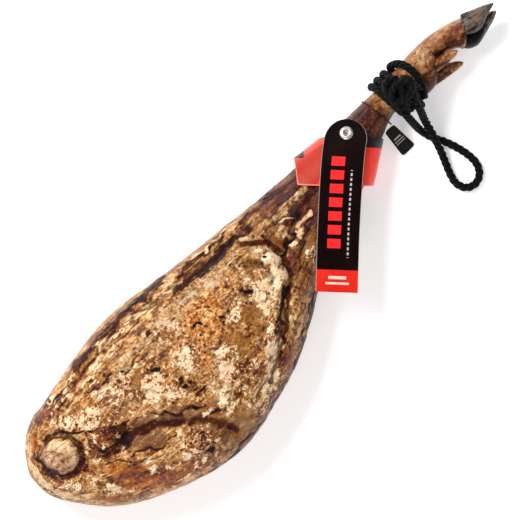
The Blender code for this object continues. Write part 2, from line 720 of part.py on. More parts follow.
def collar_edges(angle):
    """Where the band starts and ends along the shank at that angle round it, from foot to top."""
    top, _ = skin_on_line(COLLAR_TOP_LINE, angle)
    foot, y_foot = skin_on_line(COLLAR_FOOT_LINE, angle)
    foot = max(foot, y_foot + COLLAR_CORNER_X)
    under = max(0.0, -math.sin(angle))
    left = max(0.0, math.cos(angle)) ** 6
    right = max(0.0, -math.cos(angle)) ** 4
    tongue = TONGUE_REACH * math.exp(-((angle - TONGUE_ANGLE) / TONGUE_WIDTH) ** 2)
    foot += under * COLLAR_FOOT_UNDER + right * COLLAR_FOOT_RIGHT
    return foot, top - left * COLLAR_TOP_LEFT - under * COLLAR_TOP_UNDER + tongue


def collar_clear(angle, share):
    """How far the band stands off the skin, from its foot at share 0 to its top at share 1."""
    left = max(0.0, math.cos(angle)) ** 4
    right = max(0.0, -math.cos(angle)) ** 4
    out_left, out_right = (foot + (top - foot) * share for foot, top in (COLLAR_LEFT_CLEAR, COLLAR_RIGHT_CLEAR))
    return COLLAR_CLEAR + left * out_left + right * out_right


def collar(into, cutter):
    """A thin band that stands clear of the shank, more so at its sides."""
    points = []
    for k in range(COLLAR_SIDES):
        angle = 2 * math.pi * k / COLLAR_SIDES
        foot, top = collar_edges(angle)
        for share in COLLAR_ROWS:
            point = around_ankle(foot + (top - foot) * share, angle, collar_clear(angle, share))
            points.append(under_label(point))
    faces = []
    high = len(COLLAR_ROWS)
    for k in range(COLLAR_SIDES):
        after = (k + 1) % COLLAR_SIDES
        for row in range(high - 1):
            faces.append((k * high + row, after * high + row, after * high + row + 1, k * high + row + 1))
    band = add_object("collar", mesh_from("collar", points, faces), "collar", into)
    thick(band, COLLAR_THICK)
    boolean(band, "DIFFERENCE", cutter)


def under_label(point):
    """The point, lifted where it is close to the stud, to lie flat under the label."""
    stud_middle, after = label_frame(STUD_FROM_TOP)[0], label_frame(STUD_FROM_TOP + STUD_SPAN)[0]
    along = (after - stud_middle) / np.linalg.norm((after - stud_middle)[:2])
    away = point - stud_middle
    level = stud_middle[2] + along[2] * np.dot(away[:2], along[:2])
    level -= (LABEL_THICK + COLLAR_THICK) / 2 + 2 * GAP
    if point[2] < UNDER_LABEL_ABOVE:
        return point
    near = math.exp(-(np.linalg.norm(away[:2]) / UNDER_LABEL_REACH) ** 4)
    return np.array([point[0], point[1], point[2] + near * (level - point[2])])


def main():
    clear_scene()
    whole = collection("cured_ham")
    cutters = collection("cutters")
    lobes = collection("lobes")
    leg = add_object("ham", leg_skin(), "ham", whole)
    for side in ("near", "far"):
        dewclaw_lobe(side, lobes)
        dewclaw_horn(side, whole)
        claw(side, whole)
    boolean(leg, "UNION", group=lobes)
    rope(whole, cutters)
    seal_cord(whole)
    seal_tag(whole)
    hole = stud_hole(cutters)
    label(whole, hole)
    collar(whole, hole)
    stud(whole)


main()
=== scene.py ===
# Cured ham: the looks of the leg, rope, seal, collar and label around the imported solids.
#
# Places on the ham's shown face are given as photo pixels (520 by 520) and turned into the part's
# frame by plan(). All other sizes are in millimetres until a mesh is made, where MM scales them.

import functools
import math

import bmesh
import bpy
import numpy as np
from mathutils import Matrix, Vector, noise


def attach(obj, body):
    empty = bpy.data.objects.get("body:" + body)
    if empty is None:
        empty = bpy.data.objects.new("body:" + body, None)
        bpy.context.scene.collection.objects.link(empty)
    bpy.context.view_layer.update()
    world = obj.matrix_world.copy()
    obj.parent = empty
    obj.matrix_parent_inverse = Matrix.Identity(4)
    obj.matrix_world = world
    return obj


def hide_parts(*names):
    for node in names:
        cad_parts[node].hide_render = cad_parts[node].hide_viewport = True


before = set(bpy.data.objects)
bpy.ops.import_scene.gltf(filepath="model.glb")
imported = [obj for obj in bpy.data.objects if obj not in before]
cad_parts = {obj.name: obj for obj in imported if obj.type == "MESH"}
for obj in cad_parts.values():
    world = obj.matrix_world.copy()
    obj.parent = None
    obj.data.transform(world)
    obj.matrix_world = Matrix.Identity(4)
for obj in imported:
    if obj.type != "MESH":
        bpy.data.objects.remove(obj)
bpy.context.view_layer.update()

MM = 0.001

# The photo's pixels against the part: the hip end's pixel, the leg's direction and the pixel's size.
PHOTO_START = (28.0, 470.0)
PHOTO_ALONG = (0.71013, -0.70407)
PHOTO_ACROSS = (0.70407, 0.71013)
PIXEL = 1.2121
PHOTO_MIDDLE_ALONG = 328.0
PHOTO_MIDDLE_ACROSS = 41.7
PHOTO_SIDE = 520

# Camera, in metres and the sensor in millimetres
CAMERA_HEIGHT = 6.0
CAMERA_FOCUS_LEVEL = 0.055
CAMERA_REACH = 50.0
SENSOR = 36.0

# Lights: place and size in metres, power and colour
KEY_LIGHT = ((-0.1, 1.5, 1.9), 1.1, 66, (1.0, 0.985, 0.96))
FILL_LIGHT = ((-1.5, -1.0, 1.5), 1.6, 20, (1, 1, 1))
HORIZON_LIGHT = 0.9
ZENITH_LIGHT = 0.12

# Floor
FLOOR_HALF_SIDE = 3000.0
FLOOR_GREY = (0.9, 0.9, 0.9, 1)
FLOOR_WHITE = (0.93, 0.93, 0.93, 1)
FLOOR_GLOW = 0.4

# Edges that turn more than this stay sharp.
SHARP_ANGLE = math.radians(50)


def plan(px, py):
    """The photo's pixel as a point in plan, in millimetres."""
    away = (np.asarray(px, float) - PHOTO_START[0], np.asarray(py, float) - PHOTO_START[1])
    along = away[0] * PHOTO_ALONG[0] + away[1] * PHOTO_ALONG[1]
    across = away[0] * PHOTO_ACROSS[0] + away[1] * PHOTO_ACROSS[1]
    return (along - PHOTO_MIDDLE_ALONG) * PIXEL, -(across - PHOTO_MIDDLE_ACROSS) * PIXEL


def srgb(*values):
    """A colour given as 0 to 255 on the screen, as linear values."""
    parts = [value / 255 for value in values]
    linear = [part / 12.92 if part <= 0.04045 else ((part + 0.055) / 1.055) ** 2.4 for part in parts]
    return (*linear, 1.0)


# Camera, lights and floor

def camera():
    data = bpy.data.cameras.new("camera")
    data.sensor_width = SENSOR
    width = PHOTO_SIDE * PIXEL * MM
    data.lens = SENSOR * (CAMERA_HEIGHT - CAMERA_FOCUS_LEVEL) / width
    data.clip_end = CAMERA_REACH
    eye = bpy.data.objects.new("camera", data)
    bpy.context.scene.collection.objects.link(eye)
    x, y = plan(PHOTO_SIDE / 2, PHOTO_SIDE / 2)
    right = Vector((*PHOTO_ALONG, 0)).normalized()
    up = Vector((0, 0, 1)).cross(right)
    turn = Matrix((right, up, (0, 0, 1))).transposed().to_4x4()
    eye.matrix_world = Matrix.Translation((float(x) * MM, float(y) * MM, CAMERA_HEIGHT)) @ turn
    bpy.context.scene.camera = eye


def area_light(name, place, size, power, colour):
    data = bpy.data.lights.new(name, "AREA")
    data.shape = "DISK"
    data.size = size
    data.energy = power
    data.color = colour
    lamp = bpy.data.objects.new(name, data)
    bpy.context.scene.collection.objects.link(lamp)
    lamp.location = place
    lamp.rotation_euler = (-Vector(place)).to_track_quat("-Z", "Y").to_euler()


def lights():
    area_light("key", *KEY_LIGHT)
    area_light("fill", *FILL_LIGHT)
    world = bpy.data.worlds.new("studio")
    world.use_nodes = True
    tree = world.node_tree
    direction = tree.nodes.new("ShaderNodeTexCoord").outputs["Generated"]
    parts = tree.nodes.new("ShaderNodeSeparateXYZ")
    tree.links.new(direction, parts.inputs[0])
    fade = tree.nodes.new("ShaderNodeMapRange")
    fade.inputs["To Min"].default_value = HORIZON_LIGHT
    fade.inputs["To Max"].default_value = ZENITH_LIGHT
    tree.links.new(parts.outputs["Z"], fade.inputs["Value"])
    background = tree.nodes["Background"]
    background.inputs["Color"].default_value = (1, 1, 1, 1)
    tree.links.new(fade.outputs["Result"], background.inputs["Strength"])
    bpy.context.scene.world = world
    bpy.context.scene.view_settings.view_transform = "Standard"


# Materials: a small helper round the node tree

class Shader:
    """A Principled material whose nodes are added by short calls."""

    def __init__(self, name, roughness=0.5, metallic=0.0, specular=0.5):
        self.material = bpy.data.materials.new(name)
        self.material.use_nodes = True
        self.tree = self.material.node_tree
        self.surface = self.tree.nodes["Principled BSDF"]
        self.set("Roughness", roughness)
        self.set("Metallic", metallic)
        self.set("Specular IOR Level", specular)

    def set(self, socket, value):
        self.wire(value, self.surface.inputs[socket])

    def wire(self, value, socket):
        if isinstance(value, bpy.types.NodeSocket):
            self.tree.links.new(value, socket)
        else:
            socket.default_value = value

    def add(self, kind, settings=None, **inputs):
        node = self.tree.nodes.new(kind)
        for key, value in (settings or {}).items():
            setattr(node, key, value)
        for key, value in inputs.items():
            self.wire(value, node.inputs[key.replace("_", " ")])
        return node

    def place(self):
        return self.add("ShaderNodeTexCoord").outputs["Object"]

    def attribute(self, name, output="Fac"):
        return self.add("ShaderNodeAttribute", {"attribute_name": name}).outputs[output]

    def parts(self, vector):
        node = self.add("ShaderNodeSeparateXYZ")
        self.wire(vector, node.inputs[0])
        return node.outputs[0], node.outputs[1], node.outputs[2]

    def math(self, operation, a, b=0.0):
        node = self.add("ShaderNodeMath", {"operation": operation})
        self.wire(a, node.inputs[0])
        self.wire(b, node.inputs[1])
        return node.outputs[0]

    def times(self, a, b):
        return self.math("MULTIPLY", a, b)

    def without(self, value):
        """What is left of one after the value."""
        return self.math("SUBTRACT", 1, value)

    def total(self, *terms):
        """The sum of values, or of (value, weight) pairs."""
        made = 0.0
        for term in terms:
            value = self.times(*term) if isinstance(term, tuple) else term
            made = self.math("ADD", made, value)
        return made

    def step(self, value, low, high):
        """0 below low, 1 above high, and a smooth rise between them."""
        node = self.add("ShaderNodeMapRange", {"interpolation_type": "SMOOTHSTEP"})
        self.wire(value, node.inputs["Value"])
        self.wire(low, node.inputs["From Min"])
        self.wire(high, node.inputs["From Max"])
        return node.outputs["Result"]

    def scaled(self, vector, scale):
        node = self.add("ShaderNodeVectorMath", {"operation": "MULTIPLY"})
        self.wire(vector, node.inputs[0])
        node.inputs[1].default_value = scale
        return node.outputs[0]

    def noise(self, vector, scale, detail=3.0, roughness=0.5, distortion=0.0):
        """Noise centred on zero, about half a unit either way."""
        node = self.add("ShaderNodeTexNoise", Vector=vector, Scale=scale, Detail=detail,
                        Roughness=roughness, Distortion=distortion)
        return self.math("SUBTRACT", node.outputs[0], 0.5)

    def inside(self, value, low, high, soft=0.25):
        """1 between low and high and 0 outside, with soft edges."""
        rising = self.step(value, low - soft, low + soft)
        return self.times(rising, self.without(self.step(value, high - soft, high + soft)))

    def cells(self, vector, scale):
        return self.add("ShaderNodeTexVoronoi", Vector=vector, Scale=scale).outputs["Distance"]

    def mix(self, share, a, b, blend="MIX"):
        node = self.add("ShaderNodeMix", {"data_type": "RGBA", "blend_type": blend, "clamp_result": True})
        self.wire(share, node.inputs[0])
        self.wire(a, node.inputs[6])
        self.wire(b, node.inputs[7])
        return node.outputs[2]

    def ramp(self, value, stops):
        """A colour that changes with the value through stops of (value, colour from 0 to 255)."""
        node = self.add("ShaderNodeValToRGB")
        self.wire(value, node.inputs[0])
        steps = node.color_ramp.elements
        while len(steps) < len(stops):
            steps.new(0.5)
        for step, (place, colour) in zip(steps, stops):
            step.position = place
            step.color = srgb(*colour)
        return node.outputs[0]

    def blend(self, share, a, b):
        node = self.add("ShaderNodeMix", {"data_type": "FLOAT"})
        self.wire(share, node.inputs[0])
        self.wire(a, node.inputs[2])
        self.wire(b, node.inputs[3])
        return node.outputs[0]

    def bump(self, height, distance, strength=1.0):
        self.set("Normal", self.add("ShaderNodeBump", Height=height, Distance=distance,
                                    Strength=strength).outputs[0])


# Meshes and lines

def mesh_object(name, points, faces, material=None, normals=True):
    """A mesh object at the origin, from points in millimetres."""
    mesh = bpy.data.meshes.new(name)
    mesh.from_pydata((np.asarray(points, float) * MM).tolist(), [], faces)
    if normals:
        body = bmesh.new()
        body.from_mesh(mesh)
        bmesh.ops.recalc_face_normals(body, faces=body.faces)
        body.to_mesh(mesh)
        body.free()
    mesh.shade_smooth()
    made = bpy.data.objects.new(name, mesh)
    bpy.context.scene.collection.objects.link(made)
    if material is not None:
        mesh.materials.append(material)
    return made


def set_attribute(piece, name, values):
    values = np.asarray(values, np.float32)
    kind = "FLOAT" if values.ndim == 1 else "FLOAT_VECTOR"
    key = "value" if values.ndim == 1 else "vector"
    made = piece.data.attributes.new(name, kind, "POINT")
    made.data.foreach_set(key, values.ravel())


def points_of(piece):
    values = np.empty(len(piece.data.vertices) * 3, np.float32)
    piece.data.vertices.foreach_get("co", values)
    return values.reshape(-1, 3).astype(float) / MM


def put_points(piece, points):
    piece.data.vertices.foreach_set("co", (points * MM).astype(np.float32).ravel())
    piece.data.update()


def normals_of(piece):
    values = np.empty(len(piece.data.vertices) * 3, np.float32)
    piece.data.vertices.foreach_get("normal", values)
    return values.reshape(-1, 3).astype(float)


def apply_modifiers(piece):
    seen = piece.evaluated_get(bpy.context.evaluated_depsgraph_get())
    mesh = bpy.data.meshes.new_from_object(seen)
    piece.modifiers.clear()
    piece.data = mesh


def ring_faces(rings, sides, first=0):
    """Quads between rings of points, each ring closed on itself."""
    faces = []
    for ring in range(rings - 1):
        start = first + ring * sides
        for i in range(sides):
            j = (i + 1) % sides
            faces.append((start + i, start + j, start + sides + j, start + sides + i))
    return faces


# Steps between two given points where a curve is measured
FINE_STEPS = 40
CLOSE_TO_UPRIGHT = 0.1


def smooth_line(points, places):
    """Points of a Catmull-Rom curve through the given points, at places from 0 to len(points) - 1."""
    given = np.asarray(points, float)
    ends = np.vstack([2 * given[0] - given[1], given, 2 * given[-1] - given[-2]])
    places = np.asarray(places, float)
    start = np.minimum(places.astype(int), len(given) - 2)
    t = (places - start)[:, None]
    a, b, c, d = (ends[start + k] for k in range(4))
    return 0.5 * (2 * b + (c - a) * t + (2 * a - 5 * b + 4 * c - d) * t ** 2
                  + (3 * b - a - 3 * c + d) * t ** 3)


def distances(line):
    """How far along the line each of its points lies."""
    return np.concatenate([[0], np.cumsum(np.linalg.norm(np.diff(line, axis=0), axis=1))])


def line_length(line):
    return float(np.linalg.norm(np.diff(line, axis=0), axis=1).sum())


def even_line(points, count):
    """The same curve, with its points evenly far apart."""
    fine = smooth_line(points, np.linspace(0, len(points) - 1, FINE_STEPS * len(points)))
    run = distances(fine)
    wanted = np.linspace(0, run[-1], count)
    return np.column_stack([np.interp(wanted, run, fine[:, axis]) for axis in range(fine.shape[1])])


def directions(line):
    """Along, across and up at each point of a line, turning as little as they can."""
    along = np.gradient(line, axis=0)
    along /= np.linalg.norm(along, axis=1)[:, None]
    start = np.cross(along[0], (0, 0, 1))
    if np.linalg.norm(start) < CLOSE_TO_UPRIGHT:
        start = np.cross(along[0], (0, 1, 0))
    across = [start / np.linalg.norm(start)]
    for heading in along[1:]:
        side = across[-1] - heading * np.dot(across[-1], heading)
        across.append(side / np.linalg.norm(side))
    across = np.array(across)
    return along, across, np.cross(across, along)


# Rope: three twisted strands

ROPE_D = 10.4
STRANDS = 3
STRAND_RADIUS = 2.5
STRAND_OFFSET = 2.7
LAY_LENGTH = 23.0
STRAND_SIDES = 14
YARNS = 7
YARN_SLANT = 1.3
ROPE_STEP = 1.0
LEAST_ROPE_POINTS = 8

LOOP_ROUTE = [
    (231.0, 39.6, 70.0), (230.6, 31.5, 62.5), (230.6, 24.6, 51.0), (230.9, 17.6, 36.5),
    (231.6, 10.0, 21.5), (233.4, 1.0, 10.4), (237.0, -10.0, 6.1), (243.9, -23.9, 5.7), (249.4, -39.6, 5.6),
    (252.6, -55.2, 5.6), (252.2, -69.4, 5.6), (245.6, -81.0, 5.6), (234.2, -85.8, 5.6), (222.6, -81.2, 5.6),
    (217.6, -68.6, 5.6), (220.8, -54.6, 5.7), (226.4, -41.2, 7.2), (231.4, -28.8, 11.6), (235.6, -16.2, 17.2),
    (239.2, -4.4, 21.6), (242.2, 7.4, 27.4), (244.4, 16.0, 37.6), (246.2, 21.6, 49.0), (247.6, 27.0, 60.4),
    (249.0, 34.0, 68.6),
]
WRAP_CROSSINGS = [225.4, 236.2, 247.0, 259.5]
WRAP_POINTS = 18
WRAP_CLEAR = 0.8
WRAP_ABOVE_FLOOR = 0.3
# The arch that goes on from the last turn: turns and places along the ankle.
WRAP_ARCH = [(3.04, 262.4), (3.08, 266.4), (3.12, 269.6), (3.17, 272.2), (3.22, 273.2), (3.27, 272.0),
             (3.32, 269.0), (3.365, 264.6), (3.39, 261.0)]
KNOT_EXIT_STRANDS = [
    [(252.6, 72, 76.2), (245.6, 77.6, 74.0), (237.6, 76.0, 74.0), (232.4, 68, 75.4), (231.6, 57, 76.6)],
    [(262.4, 61.5, 81.0), (260, 53.5, 81.8), (255.4, 46.5, 79.0)],
]
KNOT_CROSS_STRANDS = [
    [(256.6, 66.8, 80.4), (251.6, 62.6, 82.8), (246, 55.6, 83.2), (241.4, 48, 80.6), (238.6, 41, 75.6)],
    [(234.2, 60.5, 79.4), (240.8, 66.0, 82.8), (249.4, 66.6, 83.6), (257.4, 61.0, 83.8), (262, 53, 80.8)],
    [(236.2, 50.4, 79.8), (243.4, 47.4, 84.6), (251.6, 48.8, 86.2), (259.4, 53, 83.4)],
]
# Ends tucked in below the knot's strands: the strand, its first (0) or last (-1) end, and the place.
TUCKS = [(1, 0, (258, 66, 76)), (2, 0, (259, 67, 75)), (2, -1, (236, 36, 66)), (3, 0, (230, 52, 73)),
         (3, -1, (264, 45, 71)), (4, 0, (231, 50, 73)), (4, -1, (263, 52, 76))]
EXIT_RUN = (8.0, 4.0, 0.9)


def rope_material():
    shader = Shader("rope_black", specular=0.12)
    place = shader.place()
    x, y, run = shader.parts(shader.attribute("round_strand", "Vector"))
    yarn = shader.total((shader.math("ARCTAN2", y, x), YARNS), (run, -YARN_SLANT))
    twist = shader.math("COSINE", yarn)
    fuzz = shader.noise(place, 1400, 3, 0.7)
    dust = shader.noise(place, 130, 4, 0.6)
    tone = shader.total(0.3, (twist, 0.2), (fuzz, 0.9), (dust, 0.5))
    shader.set("Base Color", shader.mix(shader.step(tone, 0.0, 1.0), srgb(1, 1, 1), srgb(16, 12, 10)))
    shader.set("Roughness", shader.total(0.5, (fuzz, 0.3)))
    shader.set("Sheen Weight", 0.015)
    shader.set("Sheen Roughness", 0.45)
    shader.bump(shader.total((twist, 0.6), (fuzz, 0.8)), 0.0006)
    return shader.material


def twisted(name, line, material):
    """A rope along a line, its strands wound round each other and each strand's yarns the other way."""
    _, across, up = directions(line)
    run = distances(line)
    angles = np.linspace(0, 2 * math.pi, STRAND_SIDES, endpoint=False)
    points, faces, round_strand = [], [], []
    for k in range(STRANDS):
        turn = 2 * math.pi * (run / LAY_LENGTH + k / STRANDS)
        outward = np.cos(turn)[:, None] * across + np.sin(turn)[:, None] * up
        centre = line + STRAND_OFFSET * outward
        heading, _, _ = directions(centre)
        side = np.cross(heading, outward)
        side /= np.linalg.norm(side, axis=1)[:, None]
        lift = np.cross(side, heading)
        ring = centre[:, None] + STRAND_RADIUS * (np.cos(angles)[None, :, None] * side[:, None]
                                                  + np.sin(angles)[None, :, None] * lift[:, None])
        first = k * len(line) * STRAND_SIDES
        points.append(ring.reshape(-1, 3))
        faces += ring_faces(len(line), STRAND_SIDES, first)
        faces.append(tuple(range(first, first + STRAND_SIDES)))
        last = first + (len(line) - 1) * STRAND_SIDES
        faces.append(tuple(range(last, last + STRAND_SIDES)))
        spots = np.broadcast_arrays(np.cos(angles)[None, :], np.sin(angles)[None, :], run[:, None])
        round_strand.append(np.stack(spots, axis=-1).reshape(-1, 3))
    made = mesh_object(name, np.vstack(points), faces, material)
    set_attribute(made, "round_strand", np.vstack(round_strand))
    return made


def strand_to_exit(strand, loop_end, loop_next):
    """A knot's strand, led on so that its end faces the loop's end across a small gap."""
    out = Vector(loop_end - loop_next).normalized()
    return strand + [tuple(Vector(loop_end) + out * far) for far in EXIT_RUN]


def rope_line(route):
    """The route's curve, with a point for each ROPE_STEP of it."""
    rough = even_line(route, 4 * len(route))
    return even_line(route, max(LEAST_ROPE_POINTS, round(line_length(rough) / ROPE_STEP)))


def wrap_route():
    """The turns round the ankle, starting at the +Y edge and passing over the top first."""
    full_turns = len(WRAP_CROSSINGS) - 1
    places = [k / WRAP_POINTS for k in range(full_turns * WRAP_POINTS + 1)]
    stations = [(turn, np.interp(turn, range(full_turns + 1), WRAP_CROSSINGS)) for turn in places]
    route = []
    for turn, x in stations + WRAP_ARCH:
        angle = 2 * math.pi * turn
        clear = ROPE_D / 2 + WRAP_CLEAR
        reach = [around_ankle(x + offset, angle, clear) for offset in (-ROPE_D / 2, 0, ROPE_D / 2)]
        centre = leg_row_at(x)
        middle = np.array([0, (centre[1] + centre[3]) / 2, (centre[4] + centre[5]) / 2])
        spread = [np.linalg.norm((point - middle)[1:]) for point in reach]
        outer = reach[int(np.argmax(spread))]
        route.append((x, outer[1], max(outer[2], ROPE_D / 2 + WRAP_ABOVE_FLOOR)))
    return route


def ropes():
    black = rope_material()
    loop_line = rope_line(LOOP_ROUTE)
    loop = twisted("carrying_loop", loop_line, black)
    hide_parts("rope_loop")
    wraps = twisted("ankle_turns", rope_line(wrap_route()), black)
    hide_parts("rope_wraps")
    ends = (loop_line[0], loop_line[1]), (loop_line[-1], loop_line[-2])
    exits = [strand_to_exit(strand, *end) for strand, end in zip(KNOT_EXIT_STRANDS, ends)]
    strands = [list(strand) for strand in exits + KNOT_CROSS_STRANDS]
    for number, at, place in TUCKS:
        strands[number].insert(0 if at == 0 else len(strands[number]), place)
    parts = [twisted(f"knot_part_{k}", rope_line(strand), black) for k, strand in enumerate(strands)]
    knot = joined("knot", parts)
    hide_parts("rope_knot")
    for piece in (loop, wraps, knot):
        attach(piece, "root")


def joined(name, parts):
    """Several mesh objects as one, with their attributes."""
    with bpy.context.temp_override(active_object=parts[0], selected_editable_objects=parts):
        bpy.ops.object.join()
    parts[0].name = name
    return parts[0]


# The leg's skin, as in the solids

HIP_TIP = (-402.0, 25.0, 52.0)
# Left edge, right edge, lowest and highest level of each section.
LEG_STATIONS = [
    ((-397.6, 50.5), (-397.6, 2.5), 32, 70),
    ((-373.3, 79.8), (-373.3, -33.3), 14, 90),
    ((-349.1, 91.9), (-349.1, -58.9), 8, 98),
    ((-324.8, 95.5), (-324.8, -75.0), 4, 102),
    ((-276.4, 105.1), (-276.4, -96.5), 0, 110),
    ((-227.9, 112.5), (-227.9, -110.7), -2, 116),
    ((-179.4, 113.2), (-179.4, -114.6), -3, 119),
    ((-130.9, 105.4), (-130.9, -104.0), -2, 118),
    ((-82.4, 99.2), (-82.4, -90.4), 0, 113),
    ((-33.9, 94.1), (-33.9, -67.0), 3, 105),
    ((8.4, 89.4), (8.4, -41.5), 6, 96),
    ((50.0, 85.3), (50.0, -23.5), 9, 87),
    ((100.0, 82.2), (100.0, -5.2), 12, 78),
    ((150.0, 82.4), (150.0, 14.2), 14, 67),
    ((192.0, 81.5), (192.0, 34.0), 13.5, 58),
    ((215.0, 81.1), (215.0, 43.6), 13, 55.5),
    ((238.0, 81.6), (238.0, 45.0), 13.2, 56),
    ((257.0, 82.3), (257.0, 35.5), 13.2, 59),
    ((273.0, 82.9), (273.0, 32.7), 13.2, 61.5),
    ((288.0, 84.0), (288.0, 36.5), 12.5, 63.5),
    ((301.0, 84.2), (300.0, 49.0), 12, 64),
    ((314.0, 83.4), (311.0, 54.4), 12, 63),
    ((330.0, 80.8), (323.0, 52.2), 12.5, 62.5),
    ((347.0, 76.4), (332.0, 47.6), 12.5, 63),
    ((363.0, 70.0), (339.0, 42.0), 12, 64),
]
SQUARENESS = 0.88
WIDEST_LEVEL = 0.46
# Ridges and folds: a path in plan, its width and its height.
RELIEF_PATHS = [
    ([(-52, 62), (-24, 54), (-9, 38), (-6, 20), (-15, 0), (-40, -16), (-64, -35), (-92, -52)], 9, 4.5),
    ([(-20, 60), (2, 42), (5, 20), (-5, -4), (-32, -28), (-56, -48), (-84, -64), (-112, -78)], 6, -5.5),
    ([(-318, 90), (-278, 97), (-214, 106), (-147, 103), (-72, 94), (-10, 86)], 8, 2.5),
    ([(-316, 76), (-278, 84), (-214, 92), (-147, 90), (-72, 80), (-4, 72)], 7, -3.5),
    ([(-296, 12), (-268, 10), (-236, 0), (-208, -20), (-176, -46), (-160, -78)], 12, 3.5),
    ([(-300, -6), (-270, -8), (-244, -20), (-222, -38), (-196, -62), (-184, -88)], 10, -4.0),
    ([(-330, -22), (-290, -38), (-256, -58), (-228, -82)], 10, 2.5),
    ([(98, 48), (72, 44), (44, 37), (16, 26)], 6, -3.5),
    ([(86, 66), (50, 66), (20, 60)], 8, 2.0),
    ([(94, 19), (72, 12), (48, 3), (24, -10)], 8, 2.2),
    ([(214, 60), (176, 54), (136, 44)], 5, -1.6),
]
HIP_KNOB = (-355.5, 34.4)
HIP_KNOB_RADIUS = 22.0
HIP_KNOB_RISE = 7.5
HIP_CREASE_DEPTH = 2.6
HIP_CREASE_PLACE = 1.25
HIP_CREASE_WIDTH = 0.22
UNEVEN_SIZE = 46.0
UNEVEN_DEPTH = 1.5
# Centres and radii along the two small claws, and where their horn starts.
DEWCLAWS = {
    "near": [(283, 54, 45, 9.0), (296, 53, 47, 9.6), (308, 50.5, 48, 8.4), (317.6, 47.8, 48.4, 5.9),
             (323.6, 46.6, 48.6, 4.9), (328, 45.6, 48.7, 3.2)],
    "far": [(276, 45, 26, 9.5), (290, 42, 24, 9.6), (304, 38, 23, 8.2), (313.6, 35.0, 22.6, 6.4),
            (319.6, 32.8, 22.4, 5.0), (324.6, 30.8, 22.2, 3.0)],
}
HORN_TIPS = {"near": (331.2, 44.7, 48.5), "far": (327.4, 29.6, 22.0)}
HORN_START = 3

SKIN_STEP = 2.2
SKIN_TOP_SIDES = 150
SKIN_UNDER_SIDES = 64
CURVE_STEPS = 1400
ANGLE_STEP = 0.02
# The leg's thickness from which its relief has its full height, and how fast it starts at the sides.
FULL_RELIEF_THICK = 90
RELIEF_RISE = 2.2
# The foot's closed end: which way it bulges, how far, and its rings' shares of the section.
FOOT_END_OUT = np.array([0.86, -0.5, 0.0])
FOOT_END_BULGE = 4.5
FOOT_END_RINGS = (0.95, 0.86, 0.7, 0.5, 0.28)


def station_rows(stations, tip, tip_first):
    """One row of six numbers for each station, and one for the tip."""
    rows = [[*left, *right, low, high] for left, right, low, high in stations]
    point = [tip[0], tip[1], tip[0], tip[1], tip[2], tip[2]]
    return np.array([point] + rows if tip_first else rows + [point], float)


def with_rounded_tip(rows, at_start):
    """The rows and one more beyond the tip, so that the curve through them is blunt there."""
    near = rows[1] if at_start else rows[-2]
    mirrored = np.array([near[2], near[3], near[0], near[1], near[5], near[4]])
    return np.vstack([mirrored, rows]) if at_start else np.vstack([rows, mirrored])


def section_ring(row, angles, power=SQUARENESS, widest=WIDEST_LEVEL):
    """Points round one section: a rounded box between its two edges and its two levels."""
    left, right = np.array(row[0:2]), np.array(row[2:4])
    low, high = row[4:6]
    level = low + (high - low) * widest
    across = np.sign(np.cos(angles)) * np.abs(np.cos(angles)) ** power
    rise = np.sign(np.sin(angles)) * np.abs(np.sin(angles)) ** power
    middle = (left + right) / 2 + across[:, None] * (left - right) / 2
    height = level + np.where(rise > 0, rise * (high - level), rise * (level - low))
    return np.column_stack([middle, height])


@functools.cache
def leg_curve():
    rows = with_rounded_tip(station_rows(LEG_STATIONS, HIP_TIP, tip_first=True), True)
    fine = smooth_line(rows, np.linspace(1, len(rows) - 1, CURVE_STEPS))
    step = np.diff(fine, axis=0)
    edges = np.hypot(step[:, 0], step[:, 1]) + np.hypot(step[:, 2], step[:, 3])
    levels = np.hypot(step[:, 0], step[:, 4]) + np.hypot(step[:, 0], step[:, 5])
    return fine, np.concatenate([[0], np.cumsum((edges + levels) / 4)])


def leg_row_at(x):
    fine, _ = leg_curve()
    middle = (fine[:, 0] + fine[:, 2]) / 2
    return np.array([np.interp(x, middle, fine[:, column]) for column in range(6)])


def around_ankle(x, angle, clear):
    """A point that far out from the skin, in the section at x."""
    angles = np.array([angle - ANGLE_STEP, angle, angle + ANGLE_STEP])
    before, here, after = section_ring(leg_row_at(x), angles)
    along = after - before
    outward = np.array([0.0, along[2], -along[1]])
    return here + clear * outward / np.linalg.norm(outward)


# Fields over the plan, for relief and paint

# How far apart the noise of two seeds is taken, and the seed that is added for a second direction.
SEED_SHIFT = 17.3
HALF_SEED = 0.5
FAR = 1e9
# How fast a patch fades at its edge.
PATCH_EDGE = 3.0


def path_field(points, path, width):
    """1 on a path and 0 far from it, with a soft edge at that width."""
    nearest = np.full(len(points), FAR)
    for start, end in zip(path[:-1], path[1:]):
        start, along = np.array(start, float), np.subtract(end, start)
        t = np.clip((points - start) @ along / (along @ along), 0, 1)
        nearest = np.minimum(nearest, np.linalg.norm(points - start - t[:, None] * along, axis=1))
    return np.exp(-(nearest / width) ** 2)


def photo_path(points, pixels, width):
    """The same for a path in photo pixels, its width in pixels too."""
    return path_field(points, [plan(*pixel) for pixel in pixels], width * PIXEL)


def photo_patch(points, px, py, wide, high, level=1.0):
    """A soft-edged patch at a photo pixel, its half width and half height in pixels."""
    x, y = plan(px, py)
    east = ((points[:, 0] - x) * PHOTO_ALONG[0] - (points[:, 1] - y) * PHOTO_ACROSS[0]) / PIXEL
    south = ((points[:, 0] - x) * PHOTO_ALONG[1] - (points[:, 1] - y) * PHOTO_ACROSS[1]) / PIXEL
    away = np.hypot(east / wide, south / high)
    return level / (1 + away ** PATCH_EDGE)


